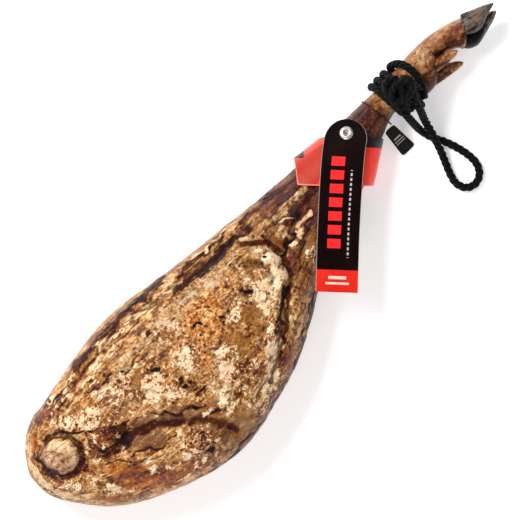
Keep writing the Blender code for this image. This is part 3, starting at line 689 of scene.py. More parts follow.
def photo_pixels(points):
    """Where the photo shows these points, seen straight from above."""
    along = points[:, 0] / PIXEL + PHOTO_MIDDLE_ALONG
    across = PHOTO_MIDDLE_ACROSS - points[:, 1] / PIXEL
    return (PHOTO_START[0] + along * PHOTO_ALONG[0] + across * PHOTO_ACROSS[0],
            PHOTO_START[1] + along * PHOTO_ALONG[1] + across * PHOTO_ACROSS[1])


def painted(points, patches, paths=()):
    """The strongest of the patches and paths at each point."""
    made = np.zeros(len(points))
    for patch in patches:
        made = np.maximum(made, photo_patch(points, *patch))
    for pixels, width, level in paths:
        made = np.maximum(made, level * photo_path(points, pixels, width))
    return made


def field_noise(points, size, seed=0):
    """Smooth noise from -1 to 1 whose lumps are about that size."""
    shift = seed * SEED_SHIFT
    places = points * (1 / size)
    return np.array([noise.noise((x + shift, y - shift, z)) for x, y, z in places.tolist()])


def wandering(points):
    """The points in plan, moved about a little so that patches get ragged outlines."""
    moved = points[:, :2].copy()
    for size, reach, seed in WANDER:
        moved[:, 0] += reach * field_noise(points, size, seed)
        moved[:, 1] += reach * field_noise(points, size, seed + HALF_SEED)
    return moved


def ease(values, low, high):
    """0 below low, 1 above high, and a smooth rise between them."""
    t = np.clip((values - low) / (high - low), 0, 1)
    return t * t * (3 - 2 * t)


def knob_rise(points):
    r = np.hypot(points[:, 0] - HIP_KNOB[0], points[:, 1] - HIP_KNOB[1]) / HIP_KNOB_RADIUS
    dome = HIP_KNOB_RISE * np.sqrt(np.maximum(0.0, 1 - r ** 4))
    return dome - HIP_CREASE_DEPTH * np.exp(-((r - HIP_CREASE_PLACE) / HIP_CREASE_WIDTH) ** 2)


def relief(points):
    rise = knob_rise(points)
    for path, width, height in RELIEF_PATHS:
        rise = rise + height * path_field(points, path, width)
    return rise


# How far patches wander from their places: lump size, reach and seed.
WANDER = ((17.0, 6.0, 11), (7.0, 3.4, 13))
# What is taken off the rind's colour, and how much deeper it is, to allow for the gloss over it.
VEIL = (0.012, 0.018, 0.026, 0.0)
DEEPER = 1.2

# Paint on the shown face, from the photo, in its pixels. A patch is x, y, half width, half
# height and level, and a path is its points, its width and level.

CREAM = [
    (150, 385, 40, 22, .46), (120, 392, 26, 20, .50), (186, 352, 34, 34, .44), (228, 372, 22, 36, .50),
    (265, 292, 18, 48, .56), (262, 392, 14, 26, .48), (80, 418, 28, 12, .56), (62, 486, 26, 8, .44),
    (236, 300, 24, 26, .42), (110, 350, 16, 26, .42), (196, 440, 30, 20, .40),
    (96, 412, 9, 8, 1), (88, 424, 8, 6, .95), (72, 424, 12, 5, .8), (60, 424, 6, 4, .75),
    (118, 397, 8, 9, .72), (107.5, 390, 9, 5, .72), (156, 393, 7, 9, .95), (149, 385, 8, 6, .9),
    (188, 363, 7, 7, 1), (183, 351, 8, 8, .8), (159, 377, 7, 6, .95), (160, 389, 8, 8, .95),
    (136.4, 365, 4, 5, .9), (148, 376, 4, 4, .8), (173, 388, 10, 9, .8), (123, 374, 5, 5, .75),
    (120, 394, 6, 6, .8), (148, 401, 5, 4, .75), (160, 336, 7, 6, .75), (170, 328, 8, 5, .6),
    (272, 257, 9, 9, 1.15), (277, 276, 8, 12, 1.15), (266, 284, 9, 9, 1.1), (259, 297, 9, 8, 1.05),
    (266, 311, 5, 7, 1), (272, 330, 4, 8, 1), (270, 348, 6, 7, 1.05), (237, 312, 7, 6, 1),
    (228, 318, 3, 4, .85), (221, 350, 8, 7, .9), (228, 368, 10, 12, .95), (241, 266, 3, 3, .85),
    (241, 271, 3, 3, .8), (256.6, 250, 4, 3, .9), (246, 281.7, 3, 2, .8), (254, 289, 5, 3, .85),
    (281, 349, 3, 4, .9), (177, 393, 10, 8, .85), (226, 380, 8, 12, .9), (216, 388, 7, 5, .85),
    (223, 398, 5, 8, .85), (210.5, 410, 4, 4, .98), (232, 412, 4, 7, .75), (236, 403, 6, 5, .65),
    (268.6, 366, 4, 8, 1), (274, 376, 4, 9, 1), (263, 388, 3, 7, .9), (255, 363, 3, 7, .8),
    (249, 402, 3, 6, .8), (193.6, 446, 5, 3.5, 1), (188, 455, 6, 4.5, .9),
    (177.5, 462, 5, 2.6, .95), (170.4, 466, 4, 2.4, .8), (154.5, 467, 4.4, 4, 1),
    (197, 465, 3, 4, .85), (205, 461, 2, 4, .8), (217, 452.7, 2.4, 2, .9), (226.6, 442, 3, 2, .75),
    (152.5, 459, 4, 1.4, .8), (180, 432, 3, 5, .7), (184, 438, 5, 3, .7), (208, 435, 2.6, 1.4, .9),
    (213, 440, 1.6, 3, .8), (95, 438, 3.4, 3, .95), (89.2, 450, 2.6, 4, .9), (102, 446, 2, 2, .85),
    (119, 434.5, 2.4, 1.6, .9), (124.5, 446, 1.8, 1.4, .9), (98.6, 459.5, 4, 2.4, .85), (104, 457, 2, 2, .8),
    (97, 477, 6, 7, .85), (77, 487, 7, 4.5, .85), (84, 477, 5, 4, .65), (115, 488, 8, 3, .95),
    (118, 491, 4, 4, .9), (133.4, 489, 3.4, 2.6, .9), (130, 460.4, 4, 1.6, .8), (69, 395, 3.4, 2.6, .9),
    (63, 400, 2, 2, .85), (58.4, 405, 3, 2, .85), (53, 414, 2, 3, .8), (55, 421, 2, 4, .8),
    (298.7, 234, 4, 6, .98), (291, 245.3, 1.8, 2.4, 1), (286, 253, 1.6, 1.6, 1), (297, 303, 3, 12, .5),
    (292, 318, 4, 14, .46), (244, 388, 6, 12, .44),
]
CREAM_PATHS = [
    ([(280, 342), (275, 360), (268, 378), (261, 395)], 3.4, .9),
    ([(106.6, 343), (100.8, 354.7), (95, 366)], 2.6, .85),
    ([(143, 308), (128, 325), (117.4, 336.4)], 1.2, .85),
    ([(165, 487.5), (178, 481), (190, 473.2)], 0.9, .95),
    ([(311, 246), (310.5, 254), (308, 258)], 1.3, .9),
    ([(314, 240), (312.5, 261.6)], .9, .7),
    ([(159, 300), (170, 290), (186, 276)], 1.6, .6),
    ([(92, 383), (98, 372), (104, 362)], 1.4, .7),
]
ORANGE = [
    (206, 306, 15, 14, 1), (199, 321, 13, 12, 1), (213, 326, 9, 12, 1), (204, 340, 8, 9, .9),
    (207, 359, 6, 9, .8), (230, 287, 10, 6, .75), (220, 284, 8, 6, .75), (169, 368, 3.4, 4, .85),
    (170, 379, 3.4, 3, .85), (187, 340, 9, 10, .55), (200, 389.5, 9, 4, .7), (209, 395, 5, 4, .7),
    (177, 391, 9, 6, .62), (189, 381, 7, 5, .8), (176, 345, 8, 5, .5), (207, 374, 8, 6, .6),
]
# Dark spots and lines, mostly painted shade: pits, cracks and grooves, the slot between the small claws, and
# the leg's edge on the side away from the key light.
PITS = [
    (211, 307.4, 2.2, 2), (198.6, 324.8, 3, 1.6), (207.3, 323.2, 1.6, 1.6), (185, 332.7, 1.1, 1.4),
    (189.5, 381, 3, 2), (183.7, 378, 1.2, 3), (186.2, 385.4, 1.5, 1.5), (155.5, 368, 2, 1.5),
    (122.3, 370.4, 1.5, 1.5), (227.8, 309.4, 2, 2), (220.2, 313.3, 3, 1.6), (225, 321, 1.6, 4, .85),
    (202, 331.4, 1.5, 1.5), (208.8, 449, 4, 2.4), (202.5, 433, 3, 1.3, .9), (219.5, 410, 5, 1.3, .9),
    (246, 289.3, 4, 1.6, .9), (265.2, 255.8, 2.6, 2.6, .85), (263.3, 236, 5, 2.4, .7), (128, 434, 5, 4),
    (125.4, 424.6, 3, 3, .85), (112, 427.3, 3.5, 2, .9), (102, 449.6, 3, 2), (93, 431.8, 2.6, 2),
    (130.7, 442.5, 3, 3, .85), (190, 407, 8, 2.2, .6), (59, 417, 2.4, 4, .6), (109, 453, 5, 3, .6),
    (287, 248, 2.4, 5, 1),
]
DARK_PATHS = [
    ([(124, 313), (131.5, 306.6), (141, 298)], 1.5, .8),
    ([(189.6, 281.7), (200, 272), (208.7, 263.5)], 1.6, .8),
    ([(209, 262), (223, 249), (233, 242)], 2.0, .85),
    ([(90, 393), (97, 386.5), (104, 379)], 1.2, .8),
    ([(68.2, 382.7), (59.3, 397.9), (49.5, 401.4)], 1.2, .8),
    ([(59.3, 432.2), (68, 430.2), (77.1, 430.9), (86, 431.8)], 1.0, .9),
    ([(61, 438), (70, 435.4), (78, 438.9), (82.5, 446), (86, 455.9), (86, 462)], 0.8, .8),
    ([(41, 460), (46, 469), (58.4, 474.6), (70, 472)], 1.2, .6),
    ([(288, 283.6), (284, 296), (281.4, 308), (281.4, 318)], 1.7, 1),
    ([(294, 233), (289, 243), (284.3, 256)], 2.0, 1),
    ([(268, 246.3), (280.5, 254.9), (285.3, 264.4), (287.2, 275)], .8, .75),
    ([(316, 290), (305, 330), (296, 364), (281, 396), (261, 424), (242, 446), (225, 461)], 1.2, .75),
    ([(136, 416), (160, 412), (188, 410)], .8, .6),
    ([(136, 452), (160, 446), (174, 437)], .9, .6),
    ([(150, 455), (130, 460), (110, 459)], .8, .6),
    ([(435, 54), (440, 52.2), (446, 49)], 1.4, 1),
    ([(462, 20), (465.4, 27), (465.6, 34)], .8, .8),
    ([(448, 48.6), (453, 46.6), (459, 45.4)], 1.1, .9),
]
# Umber: the rind's own dark brown streaks, and painted shade in hollows near the hip knob, in grooves, along
# the leg's edge away from the key light, and under the foot and its far small claw.
UMBER_AND_SHADE = [
    (121, 432, 15, 9, 1), (104, 449, 9, 6, .85), (58, 474, 16, 4, .8), (129, 442, 6, 6, .9),
    (263, 236, 7, 5, .6), (280, 330, 4.4, 12, .85), (205, 437, 6, 4, .7), (208.8, 449, 6, 4, .9),
    (232, 265, 5, 5, .5), (192, 407, 9, 2.2, .7), (147, 331, 5, 4, .7), (246, 289, 6, 3, .8),
    (220, 410, 7, 2.6, .8), (193, 385, 7, 4, .6), (203, 390, 6, 3.4, .7), (123, 371, 4, 4, .6),
    (156, 367, 5, 3, .7), (292, 262, 5, 12, .55), (300, 250, 4, 14, .5),
    (452, 44.5, 9, 3, 1), (461, 40, 3, 6, .9), (436, 79, 13, 5, 1), (447, 71, 8, 3.4, 1), (424, 84, 6, 6, 1),
    (429, 66, 3, 2.4, .7), (457, 27, 2.4, 4, .6), (397, 104, 8, 5, .6), (309, 205, 8, 12, .5),
    (421, 94, 5, 6, 1), (417, 66, 3, 4, .6), (422, 59, 4, 3, .5), (442, 63, 5, 2.4, .6),
]
UMBER_AND_SHADE_PATHS = [
    ([(76, 368), (92, 348), (104, 334), (116, 321), (131.5, 306), (146, 294), (164, 277)], 4.4, 1),
    ([(92, 380), (106, 358), (122, 338), (140, 320)], 1.6, .8),
    ([(176, 290), (189.6, 281.7), (208.7, 263.5), (223, 249), (240, 237)], 6.4, 1),
    ([(180, 276), (198, 258), (222, 236)], 3.4, .8),
    ([(88, 396), (98, 386), (112, 371)], 3.0, .7),
    ([(66, 386), (56, 401), (44, 404)], 2.6, .8),
    ([(88, 434), (92, 452), (88, 468)], 3.0, .7),
    ([(40, 452), (44, 466), (56, 474)], 3.4, .7),
    ([(318, 285), (306, 330), (297, 364), (282, 396), (262, 424), (243, 447), (225, 463), (190, 486)],
     3.4, .8),
    ([(287, 286), (283, 300), (281, 320)], 3.4, .9),
    ([(240, 226), (262, 206), (290, 182), (316, 158)], 3.0, .7),
    ([(461, 17), (464.6, 24), (466, 31), (464, 39)], 1.5, .9),
    ([(434, 54.6), (439, 52.6), (446, 48.6), (456, 46)], 1.7, 1),
    ([(424, 80), (436, 68), (449, 60)], 1.8, .9),
]
AMBER = [
    (136, 476, 22, 13, 1), (162, 474, 22, 11, 1), (109, 496, 14, 5, .8), (190, 466, 20, 10, .8),
    (106, 435, 9, 6, .9), (216, 459, 7, 5, .9), (35, 442, 5, 9, .8), (47, 414, 9, 7, .9),
    (97, 400, 9, 4, 1), (139, 393, 6, 4.5, .9), (60, 480, 14, 6, .6), (289, 357, 5, 16, .8),
    (77, 415.3, 5.5, 3.6, .9), (263.3, 244.4, 3, 2.4, .9), (85, 469, 12, 4, .8), (118, 468, 14, 5, .9),
    (137.3, 349.7, 4, 3, .9), (294, 262, 4, 10, .8),
]
GREY = [
    (150, 421, 15, 7, 1), (166, 418, 18, 9, 1), (187, 412, 18, 7, 1), (150, 437, 16, 11, 1),
    (206, 424, 10, 9, .8), (222, 432, 10, 12, .7),
    (193, 406, 8, 4, .9), (217.7, 400, 4, 5, .9), (274.3, 302, 3, 4, .8), (279.5, 335, 4, 7, .9),
    (259, 386, 8, 13, .55), (232.6, 265.4, 4, 4, .8), (243, 425, 12, 14, .5), (107, 455, 7, 4, .6),
]
TAN = [
    (150, 344, 16, 12, .8), (170, 316, 16, 10, .9), (196, 292, 16, 8, .9), (128, 366, 12, 12, .7),
    (218, 272, 12, 7, .8), (256, 252, 9, 8, .7), (283, 232, 10, 7, .6), (182, 366, 10, 14, .6),
    (246, 300, 10, 12, .5), (70, 408, 10, 6, .6), (222, 392, 14, 12, .5), (142, 402, 20, 6, .6),
]
TAN_PATHS = [
    ([(98, 398), (118, 372), (142, 340), (172, 306), (206, 276), (240, 252)], 9, .6),
    ([(238, 252), (262, 232), (288, 206), (304, 190)], 5, .7),
    ([(286, 270), (292, 300), (290, 340)], 4, .5),
]
KNOB = [(62, 452, 21, 20, 1), (48, 462, 9, 10, .7)]
OCHRE = [
    (252.7, 316, 9, 10, 1), (237.4, 338, 9, 8, 1), (245, 353.4, 7, 6, .95), (258.5, 326, 6, 9, .8),
    (251.8, 256, 5, 4, .95), (253.7, 270, 6, 6, .95), (254.6, 280, 4, 4, .9), (138, 378, 4, 13, .8),
    (128, 402, 4.4, 12, .8), (218.6, 419.6, 9, 8, .8), (243, 421, 15, 17, .85), (234, 439, 12, 8, .85),
    (257, 235, 8, 6, .8), (281, 241, 9, 10, .85), (147.2, 330.6, 4, 3, .95), (156.3, 316.5, 4, 3, .8),
    (265, 275, 1.8, 2, .9), (279.5, 265.4, 1.5, 2, .9), (215, 398, 5, 6, .8), (376, 107, 7, 6, .8),
]
# Pale fat; the first path, round the hip end's edge, is partly painted light on that edge.
PALE = [(62, 444, 15, 9, .7), (243, 240.5, 3.4, 4, .8)]
PALE_PATHS = [
    ([(27, 447), (33.4, 464.8), (43.2, 480.9), (58.4, 491), (77, 499)], 3.0, .9),
    ([(69, 381), (62, 391.6), (55.7, 397), (50, 402)], 3.4, .95),
    ([(185.7, 263.5), (208.7, 246.3), (223, 232.9), (240, 216)], 1.2, .7),
    ([(88, 372), (98, 357), (110, 341), (122, 328)], 1.4, 1),
    ([(94, 376), (104, 362), (116, 346)], 1.1, .9),
    ([(84, 388), (92, 376)], 1.3, .9),
    ([(126, 324), (140, 310), (154, 298), (170, 285)], 1.2, .9),
    ([(150, 304), (166, 290), (184, 275)], 1.0, .8),
    ([(308.6, 212), (304, 222), (297, 238)], 3.0, .95),
    ([(279, 223), (287, 219.5), (294.6, 217)], .9, .9),
    ([(100, 503), (135, 502), (158, 495)], 1.6, .5),
]
# The foot's crust: red-brown crust in places, and painted shade under the foot, round its far small claw and
# in the slot between the small claws.
CRUST_AND_SHADE = [
    (456, 44.6, 9, 3, 1.1), (463.4, 38, 2.6, 6, 1), (465, 27, 2, 7, .9), (437, 80, 13, 5, 1.1),
    (449, 71, 7, 2.6, 1), (422, 92, 6, 9, 1.1), (430, 86, 6, 6, 1.1), (441, 52, 6, 2.4, .9),
    (419, 68, 5, 3, .6), (433, 66, 3, 3, .6), (452, 30, 3, 3, .5), (428, 74, 7, 3, .7),
]
CRUST_AND_SHADE_PATHS = [
    ([(461, 17), (464.6, 24), (466, 31), (464, 39)], 1.8, 1),
    ([(424, 82), (436, 70), (449, 61), (456, 56)], 2.0, .8),
]
MOULD = [
    (211.6, 281.7, 6, 3.6, 1), (191.5, 295, 5, 3.4, .95), (163, 321.5, 5, 2.8, .9), (182, 303, 6, 3, .6),
    (417, 52, 1.4, 1.2, 1.3), (421.5, 50.5, 1.1, .9, 1.3), (424, 56, 1.2, 1.5, 1.3), (428, 54, .9, 1.3, 1.2),
    (425, 63.5, 1.3, 1, 1.3), (429, 61.5, 1, 1, 1.2), (419, 60, 1, 1, 1.2), (432, 58, .9, 1.2, 1.1),
]
FIBRE_PATHS = [
    ([(66, 396), (84, 376), (106, 342), (150, 300), (200, 258), (236, 226), (270, 200)], 15, 1),
    ([(292, 250), (296, 300), (284, 360)], 9, .8),
    ([(262, 360), (258, 395)], 8, .8),
]


# Heights over the widest level between which the shown side begins, and where shank and foot begin.
SHOWN_FADE = (-14, 6)
SHANK_FADE = (-30, 60)
FOOT_FADE = (205, 235)
FOOT_SHOWN_FADE = (10, 20)
# The grain's scale across the leg, in metres for half its width.
GRAIN_HALF_WIDTH = 0.09
LEAST_HALF_WIDTH = 8


def paint(piece, points):
    """Float masks over the skin: what shows on top, and plain mottled rind below."""
    flat = wandering(points)
    level = np.interp(points[:, 0], *leg_level())
    shown = ease(points[:, 2] - level, *SHOWN_FADE)
    away = points[:, 1] - np.interp(points[:, 0], *leg_middle())
    away = away / np.interp(points[:, 0], *leg_half_width())
    mottle = field_noise(points, 24, 3) * 0.5 + field_noise(points, 11, 4) * 0.35
    shank = ease(points[:, 0], *SHANK_FADE)
    foot = ease(points[:, 0], *FOOT_FADE)
    shown = np.maximum(shown, foot * ease(points[:, 2], *FOOT_SHOWN_FADE))
    rind = 1 - shown
    trunk = 1 - shank
    masks = {
        "cream": shown * painted(flat, CREAM, CREAM_PATHS) + rind * trunk * (0.24 + 0.3 * mottle),
        "orange": shown * painted(flat, ORANGE),
        "dark": shown * painted(flat, PITS, DARK_PATHS),
        "umber": shown * painted(flat, UMBER_AND_SHADE, UMBER_AND_SHADE_PATHS) + rind * (0.3 + 0.5 * mottle),
        "amber": shown * painted(flat, AMBER) + rind * (0.62 + 0.5 * mottle) * (1 - foot),
        "grey": shown * painted(flat, GREY),
        "tan": shown * painted(flat, TAN, TAN_PATHS),
        "knob": shown * painted(flat, KNOB),
        "ochre": shown * painted(flat, OCHRE) * (1 - foot),
        "pale": shown * painted(flat, PALE, PALE_PATHS) * (1 - foot),
        "mould": shown * painted(flat, MOULD),
        "crust": shown * foot * painted(flat, CRUST_AND_SHADE, CRUST_AND_SHADE_PATHS),
        "fibre": np.maximum(painted(flat, [], FIBRE_PATHS), 0.75 * shank * (1 - foot)),
        "shank": shank * (1 - foot),
        "foot": foot,
    }
    for name, values in masks.items():
        set_attribute(piece, name, np.clip(values, 0, 1))
    grain = np.column_stack([points[:, 0] * MM, away * GRAIN_HALF_WIDTH, points[:, 2] * MM])
    set_attribute(piece, "grain", grain)
    return masks


@functools.cache
def leg_middle():
    fine, _ = leg_curve()
    return (fine[:, 0] + fine[:, 2]) / 2, (fine[:, 1] + fine[:, 3]) / 2


@functools.cache
def leg_half_width():
    fine, _ = leg_curve()
    return (fine[:, 0] + fine[:, 2]) / 2, np.maximum(LEAST_HALF_WIDTH, (fine[:, 1] - fine[:, 3]) / 2)


@functools.cache
def leg_level():
    fine, _ = leg_curve()
    return (fine[:, 0] + fine[:, 2]) / 2, fine[:, 4] + (fine[:, 5] - fine[:, 4]) * WIDEST_LEVEL


def ham_material():
    """The rind: a base tone, then each painted patch's own colours laid over it, ragged at its edge, and
    painted shade in hollows, pits and under the foot.
    """
    shader = Shader("ham_rind")
    place = shader.place()
    grain = shader.attribute("grain", "Vector")
    mask = {name: shader.attribute(name) for name in
            ("cream", "orange", "dark", "umber", "amber", "grey", "tan", "knob", "ochre", "pale", "mould",
             "crust", "fibre", "shank", "foot", "cavity")}
    # Noises from coarse to fine, and two that run with the grain.
    big = shader.noise(place, 30, 4, 0.55)
    mid = shader.noise(place, 100, 5, 0.62, 0.6)
    curd = shader.noise(place, 260, 4, 0.66, 0.7)
    fine = shader.noise(place, 900, 3, 0.6)
    streak = shader.noise(shader.scaled(grain, (14, 130, 60)), 1, 6, 0.62, 0.5)
    thread = shader.noise(shader.scaled(grain, (45, 480, 220)), 1, 4, 0.62, 0.4)

    # Base tones: rind, its amber places, shank and foot.
    tone = shader.total(0.5, (big, 0.7), (mid, 1.5), (streak, 1.0), (curd, 1.5), (thread, 1.0))
    colour = shader.ramp(tone, [(0.14, (78, 40, 12)), (0.3, (122, 76, 32)), (0.46, (164, 114, 64)),
                                (0.62, (202, 156, 106)), (0.82, (236, 202, 160))])

    amber_tone = shader.total(0.5, (big, 0.9), (mid, 1.5), (curd, 0.7), (streak, 0.6))
    amber = shader.ramp(amber_tone, [(0.15, (84, 38, 6)), (0.4, (142, 80, 24)), (0.6, (176, 112, 48)),
                                     (0.85, (214, 152, 84))])
    amber_share = shader.step(shader.total(mask["amber"], (mid, 0.9)), 0.32, 0.6)
    colour = shader.mix(amber_share, colour, amber)

    shank_tone = shader.total(0.42, (streak, 1.1), (thread, 0.7), (mid, 0.9), (big, 1.1))
    shank = shader.ramp(shank_tone, [(0.12, (46, 20, 6)), (0.38, (98, 56, 26)), (0.62, (142, 94, 56)),
                                     (0.9, (190, 146, 104))])
    colour = shader.mix(mask["shank"], colour, shank)

    foot_tone = shader.total(0.48, (mid, 1.0), (big, 1.3), (curd, 0.9))
    foot = shader.ramp(foot_tone, [(0.1, (72, 30, 10)), (0.32, (136, 84, 50)), (0.52, (182, 132, 96)),
                                   (0.8, (222, 186, 148))])
    colour = shader.mix(mask["foot"], colour, foot)

    # Large patches in their own tones.
    ochre_tone = shader.total(0.5, (big, 1.4), (mid, 1.6), (curd, 0.9), (fine, 0.5))
    ochre = shader.mix(shader.step(ochre_tone, 0.05, 0.95), srgb(126, 80, 34), srgb(196, 148, 98))
    ochre_share = shader.step(shader.total(mask["ochre"], (mid, 0.8), (curd, 0.7)), 0.4, 0.52)
    colour = shader.mix(ochre_share, colour, ochre)

    grey_tone = shader.total(0.5, (streak, 1.4), (mid, 1.4), (thread, 0.7))
    grey = shader.ramp(grey_tone, [(0.12, (84, 54, 34)), (0.5, (142, 102, 74)), (0.88, (196, 156, 124))])
    grey_share = shader.step(shader.total(mask["grey"], (mid, 0.6), (curd, 0.4)), 0.43, 0.52)
    colour = shader.mix(grey_share, colour, grey)

    tan_tone = shader.total(0.5, (mid, 1.2), (streak, 1.0), (curd, 1.6), (fine, 0.8))
    tan = shader.ramp(tan_tone, [(0.15, (122, 84, 48)), (0.4, (176, 136, 94)), (0.62, (208, 174, 134)),
                                 (0.85, (240, 220, 192))])
    tan_share = shader.step(shader.total(mask["tan"], (mid, 0.8), (curd, 0.5)), 0.36, 0.6)
    colour = shader.mix(tan_share, colour, tan)

    knob_tone = shader.total(0.5, (streak, 0.9), (mid, 1.4), (thread, 1.0), (curd, 0.8))
    knob = shader.ramp(knob_tone, [(0.14, (100, 62, 36)), (0.36, (158, 118, 88)),
                                   (0.6, (206, 172, 144)), (0.86, (238, 212, 184))])
    knob_share = shader.step(shader.total(mask["knob"], (mid, 0.6), (curd, 0.3)), 0.36, 0.56)
    colour = shader.mix(knob_share, colour, knob)

    # Crumbly orange crust.
    crumb_noise = shader.noise(place, 235, 4, 0.62, 0.5)
    crumb_tone = shader.total(0.5, (crumb_noise, 1.7), (mid, 0.5))
    crumb = shader.ramp(crumb_tone, [(0.16, (66, 22, 2)), (0.32, (140, 76, 22)), (0.5, (204, 144, 86)),
                                     (0.74, (246, 208, 158))])
    orange_share = shader.step(shader.total(mask["orange"], (mid, 0.8), (curd, 0.8)), 0.44, 0.54)
    colour = shader.mix(orange_share, colour, crumb)

    # Umber: the rind's own dark brown, and painted shade in hollows, in grooves, along the edge away from the
    # key light and under the foot.
    umber_and_shade_share = shader.total(mask["umber"], (thread, 2.6), (streak, 1.5), (mid, 0.7))
    umber_and_shade_share = shader.step(umber_and_shade_share, 0.46, 0.66)
    umber = shader.mix(shader.step(curd, -0.15, 0.25), srgb(34, 15, 5), srgb(92, 54, 28))
    colour = shader.mix(shader.times(umber_and_shade_share, 0.92), colour, umber)

    pale = shader.mix(shader.step(shader.total(0.5, (mid, 1.6), (thread, 1.4)), 0.1, 0.9),
                      srgb(200, 152, 100), srgb(246, 222, 190))
    pale_share = shader.step(shader.total(mask["pale"], (mid, 0.9), (curd, 0.8)), 0.36, 0.56)
    colour = shader.mix(pale_share, colour, pale)

    # Cream flakes, ragged along the grain, with a light halo and a dark rim of painted shade round them.
    ragged = shader.blend(mask["fibre"], shader.total((curd, 2.7), (mid, 1.1)),
                          shader.total((thread, 2.4), (streak, 1.0), (curd, 1.0)))
    spread = shader.total((mask["cream"], 0.94), ragged, (orange_share, -0.2),
                          (umber_and_shade_share, -0.12), (ochre_share, -0.22), (mask["foot"], -0.6))
    cream_share = shader.step(spread, 0.5, 0.54)
    cream = shader.mix(shader.step(shader.total(0.5, (mid, 1.8), (fine, 1.0)), 0.1, 0.9), srgb(226, 184, 142),
                       srgb(252, 234, 208))
    halo = shader.step(spread, 0.22, 0.46)
    colour = shader.mix(shader.times(halo, 0.4), colour, srgb(208, 158, 106))
    rim = shader.inside(spread, 0.46, 0.5, 0.03)
    colour = shader.mix(shader.times(rim, 0.5), colour, srgb(92, 52, 20))
    colour = shader.mix(cream_share, colour, cream)

    # Mould, dark pits and lines of painted shade, the foot's crust with painted shade under the foot, specks
    # and cracks.
    mould_share = shader.step(shader.total(mask["mould"], (curd, 1.3), (mid, 0.8)), 0.3, 0.62)
    colour = shader.mix(shader.times(mould_share, 0.7), colour, srgb(204, 190, 168))

    dark_noise = shader.blend(mask["fibre"], shader.total((curd, 1.3), (mid, 0.8)),
                              shader.total((thread, 1.6), (streak, 0.8)))
    dark_share = shader.step(shader.total(mask["dark"], dark_noise), 0.46, 0.62)
    dark = shader.mix(shader.step(curd, -0.1, 0.25), srgb(28, 10, 2), srgb(76, 36, 12))
    colour = shader.mix(dark_share, colour, dark)

    # The foot's crust, and painted shade under the foot.
    crust_and_shade_share = shader.step(shader.total(mask["crust"], (mid, 0.6), (curd, 0.6)), 0.4, 0.6)
    crust = shader.mix(shader.step(shader.total(0.4, (curd, 1.6), (big, 0.8)), 0.1, 0.9), srgb(84, 54, 42),
                       srgb(142, 94, 66))
    colour = shader.mix(shader.times(crust_and_shade_share, 0.92), colour, crust)

    specks = shader.step(shader.total(shader.cells(place, 190), (curd, 0.6), (mid, 0.9)), 0.08, 0.15)
    colour = shader.mix(shader.times(shader.without(specks), 0.8), colour, srgb(60, 30, 10))

    vein = shader.math("ABSOLUTE", shader.noise(shader.scaled(grain, (26, 120, 60)), 1, 5, 0.6, 0.8))
    vein = shader.times(shader.without(shader.step(vein, 0.004, 0.028)), shader.step(mid, -0.1, 0.1))
    colour = shader.mix(shader.times(vein, 0.55), colour, srgb(66, 34, 12))

    # Painted shade: hollows are darkened the deeper they lie.
    hollow_shade = shader.step(mask["cavity"], 0.5, 0.95)
    colour = shader.mix(shader.times(hollow_shade, 0.75), colour, srgb(46, 22, 8))
    deeper = shader.add("ShaderNodeGamma", Color=colour, Gamma=DEEPER).outputs[0]
    shader.set("Base Color", shader.mix(1.0, deeper, VEIL, "SUBTRACT"))

    # Dark and hollow places are dull.
    gloss = shader.total(0.36, (mid, 0.3), (cream_share, 0.28), (orange_share, 0.14), (mask["shank"], -0.08),
                         (mask["amber"], -0.08), (mask["foot"], -0.1))
    shader.set("Roughness", shader.math("MAXIMUM", gloss, 0.16))
    dull = shader.math("MAXIMUM", shader.math("MAXIMUM", dark_share, umber_and_shade_share),
                       shader.math("MAXIMUM", hollow_shade, crust_and_shade_share))
    shader.set("Specular IOR Level", shader.total(0.32, (dull, -0.2)))
    height = shader.total((cream_share, 0.22), (curd, 0.9), (thread, 0.7), (streak, 0.8), (fine, 0.22),
                          (dark_share, -0.5), (vein, -0.4),
                          (shader.times(crumb_noise, orange_share), 1.6))
    shader.bump(height, 0.0016, 0.8)
    return shader.material


def skin_mesh(material):
    """The leg from the hip end to the foot's end, at a step fine enough for folds and pits."""
    fine, run = leg_curve()
    places = np.linspace(0, run[-1], round(run[-1] / SKIN_STEP) + 1)[1:]
    angles = np.concatenate([np.linspace(0, math.pi, SKIN_TOP_SIDES, endpoint=False),
                             np.linspace(math.pi, 2 * math.pi, SKIN_UNDER_SIDES, endpoint=False)])
    sides = len(angles)
    rows = [[np.interp(place, run, fine[:, column]) for column in range(6)] for place in places]
    rings = np.vstack([section_ring(row, angles) for row in rows])
    body = np.repeat([min(1.0, (row[5] - row[4]) / FULL_RELIEF_THICK) for row in rows], sides)
    shown = np.clip(np.tile(np.sin(angles), len(rows)) * RELIEF_RISE, 0, 1)
    rings[:, 2] += relief(rings[:, :2]) * shown * body
    rings[:, 2] += UNEVEN_DEPTH * field_noise(rings, UNEVEN_SIZE) * body
    end = rings[-sides:]
    centre = end.mean(axis=0)
    caps = [centre + (end - centre) * share + FOOT_END_OUT * FOOT_END_BULGE * math.sqrt(1 - share ** 2)
            for share in FOOT_END_RINGS]
    points = np.vstack([[HIP_TIP], rings, *caps])
    faces = [(0, 1 + (i + 1) % sides, 1 + i) for i in range(sides)]
    faces += ring_faces(len(rows) + len(caps), sides, 1)
    last = 1 + (len(rows) + len(caps) - 1) * sides
    faces.append(tuple(range(last, last + sides)))
    points[:, 2] = np.maximum(points[:, 2], 0)
    return mesh_object("cured_leg", points, faces, material)


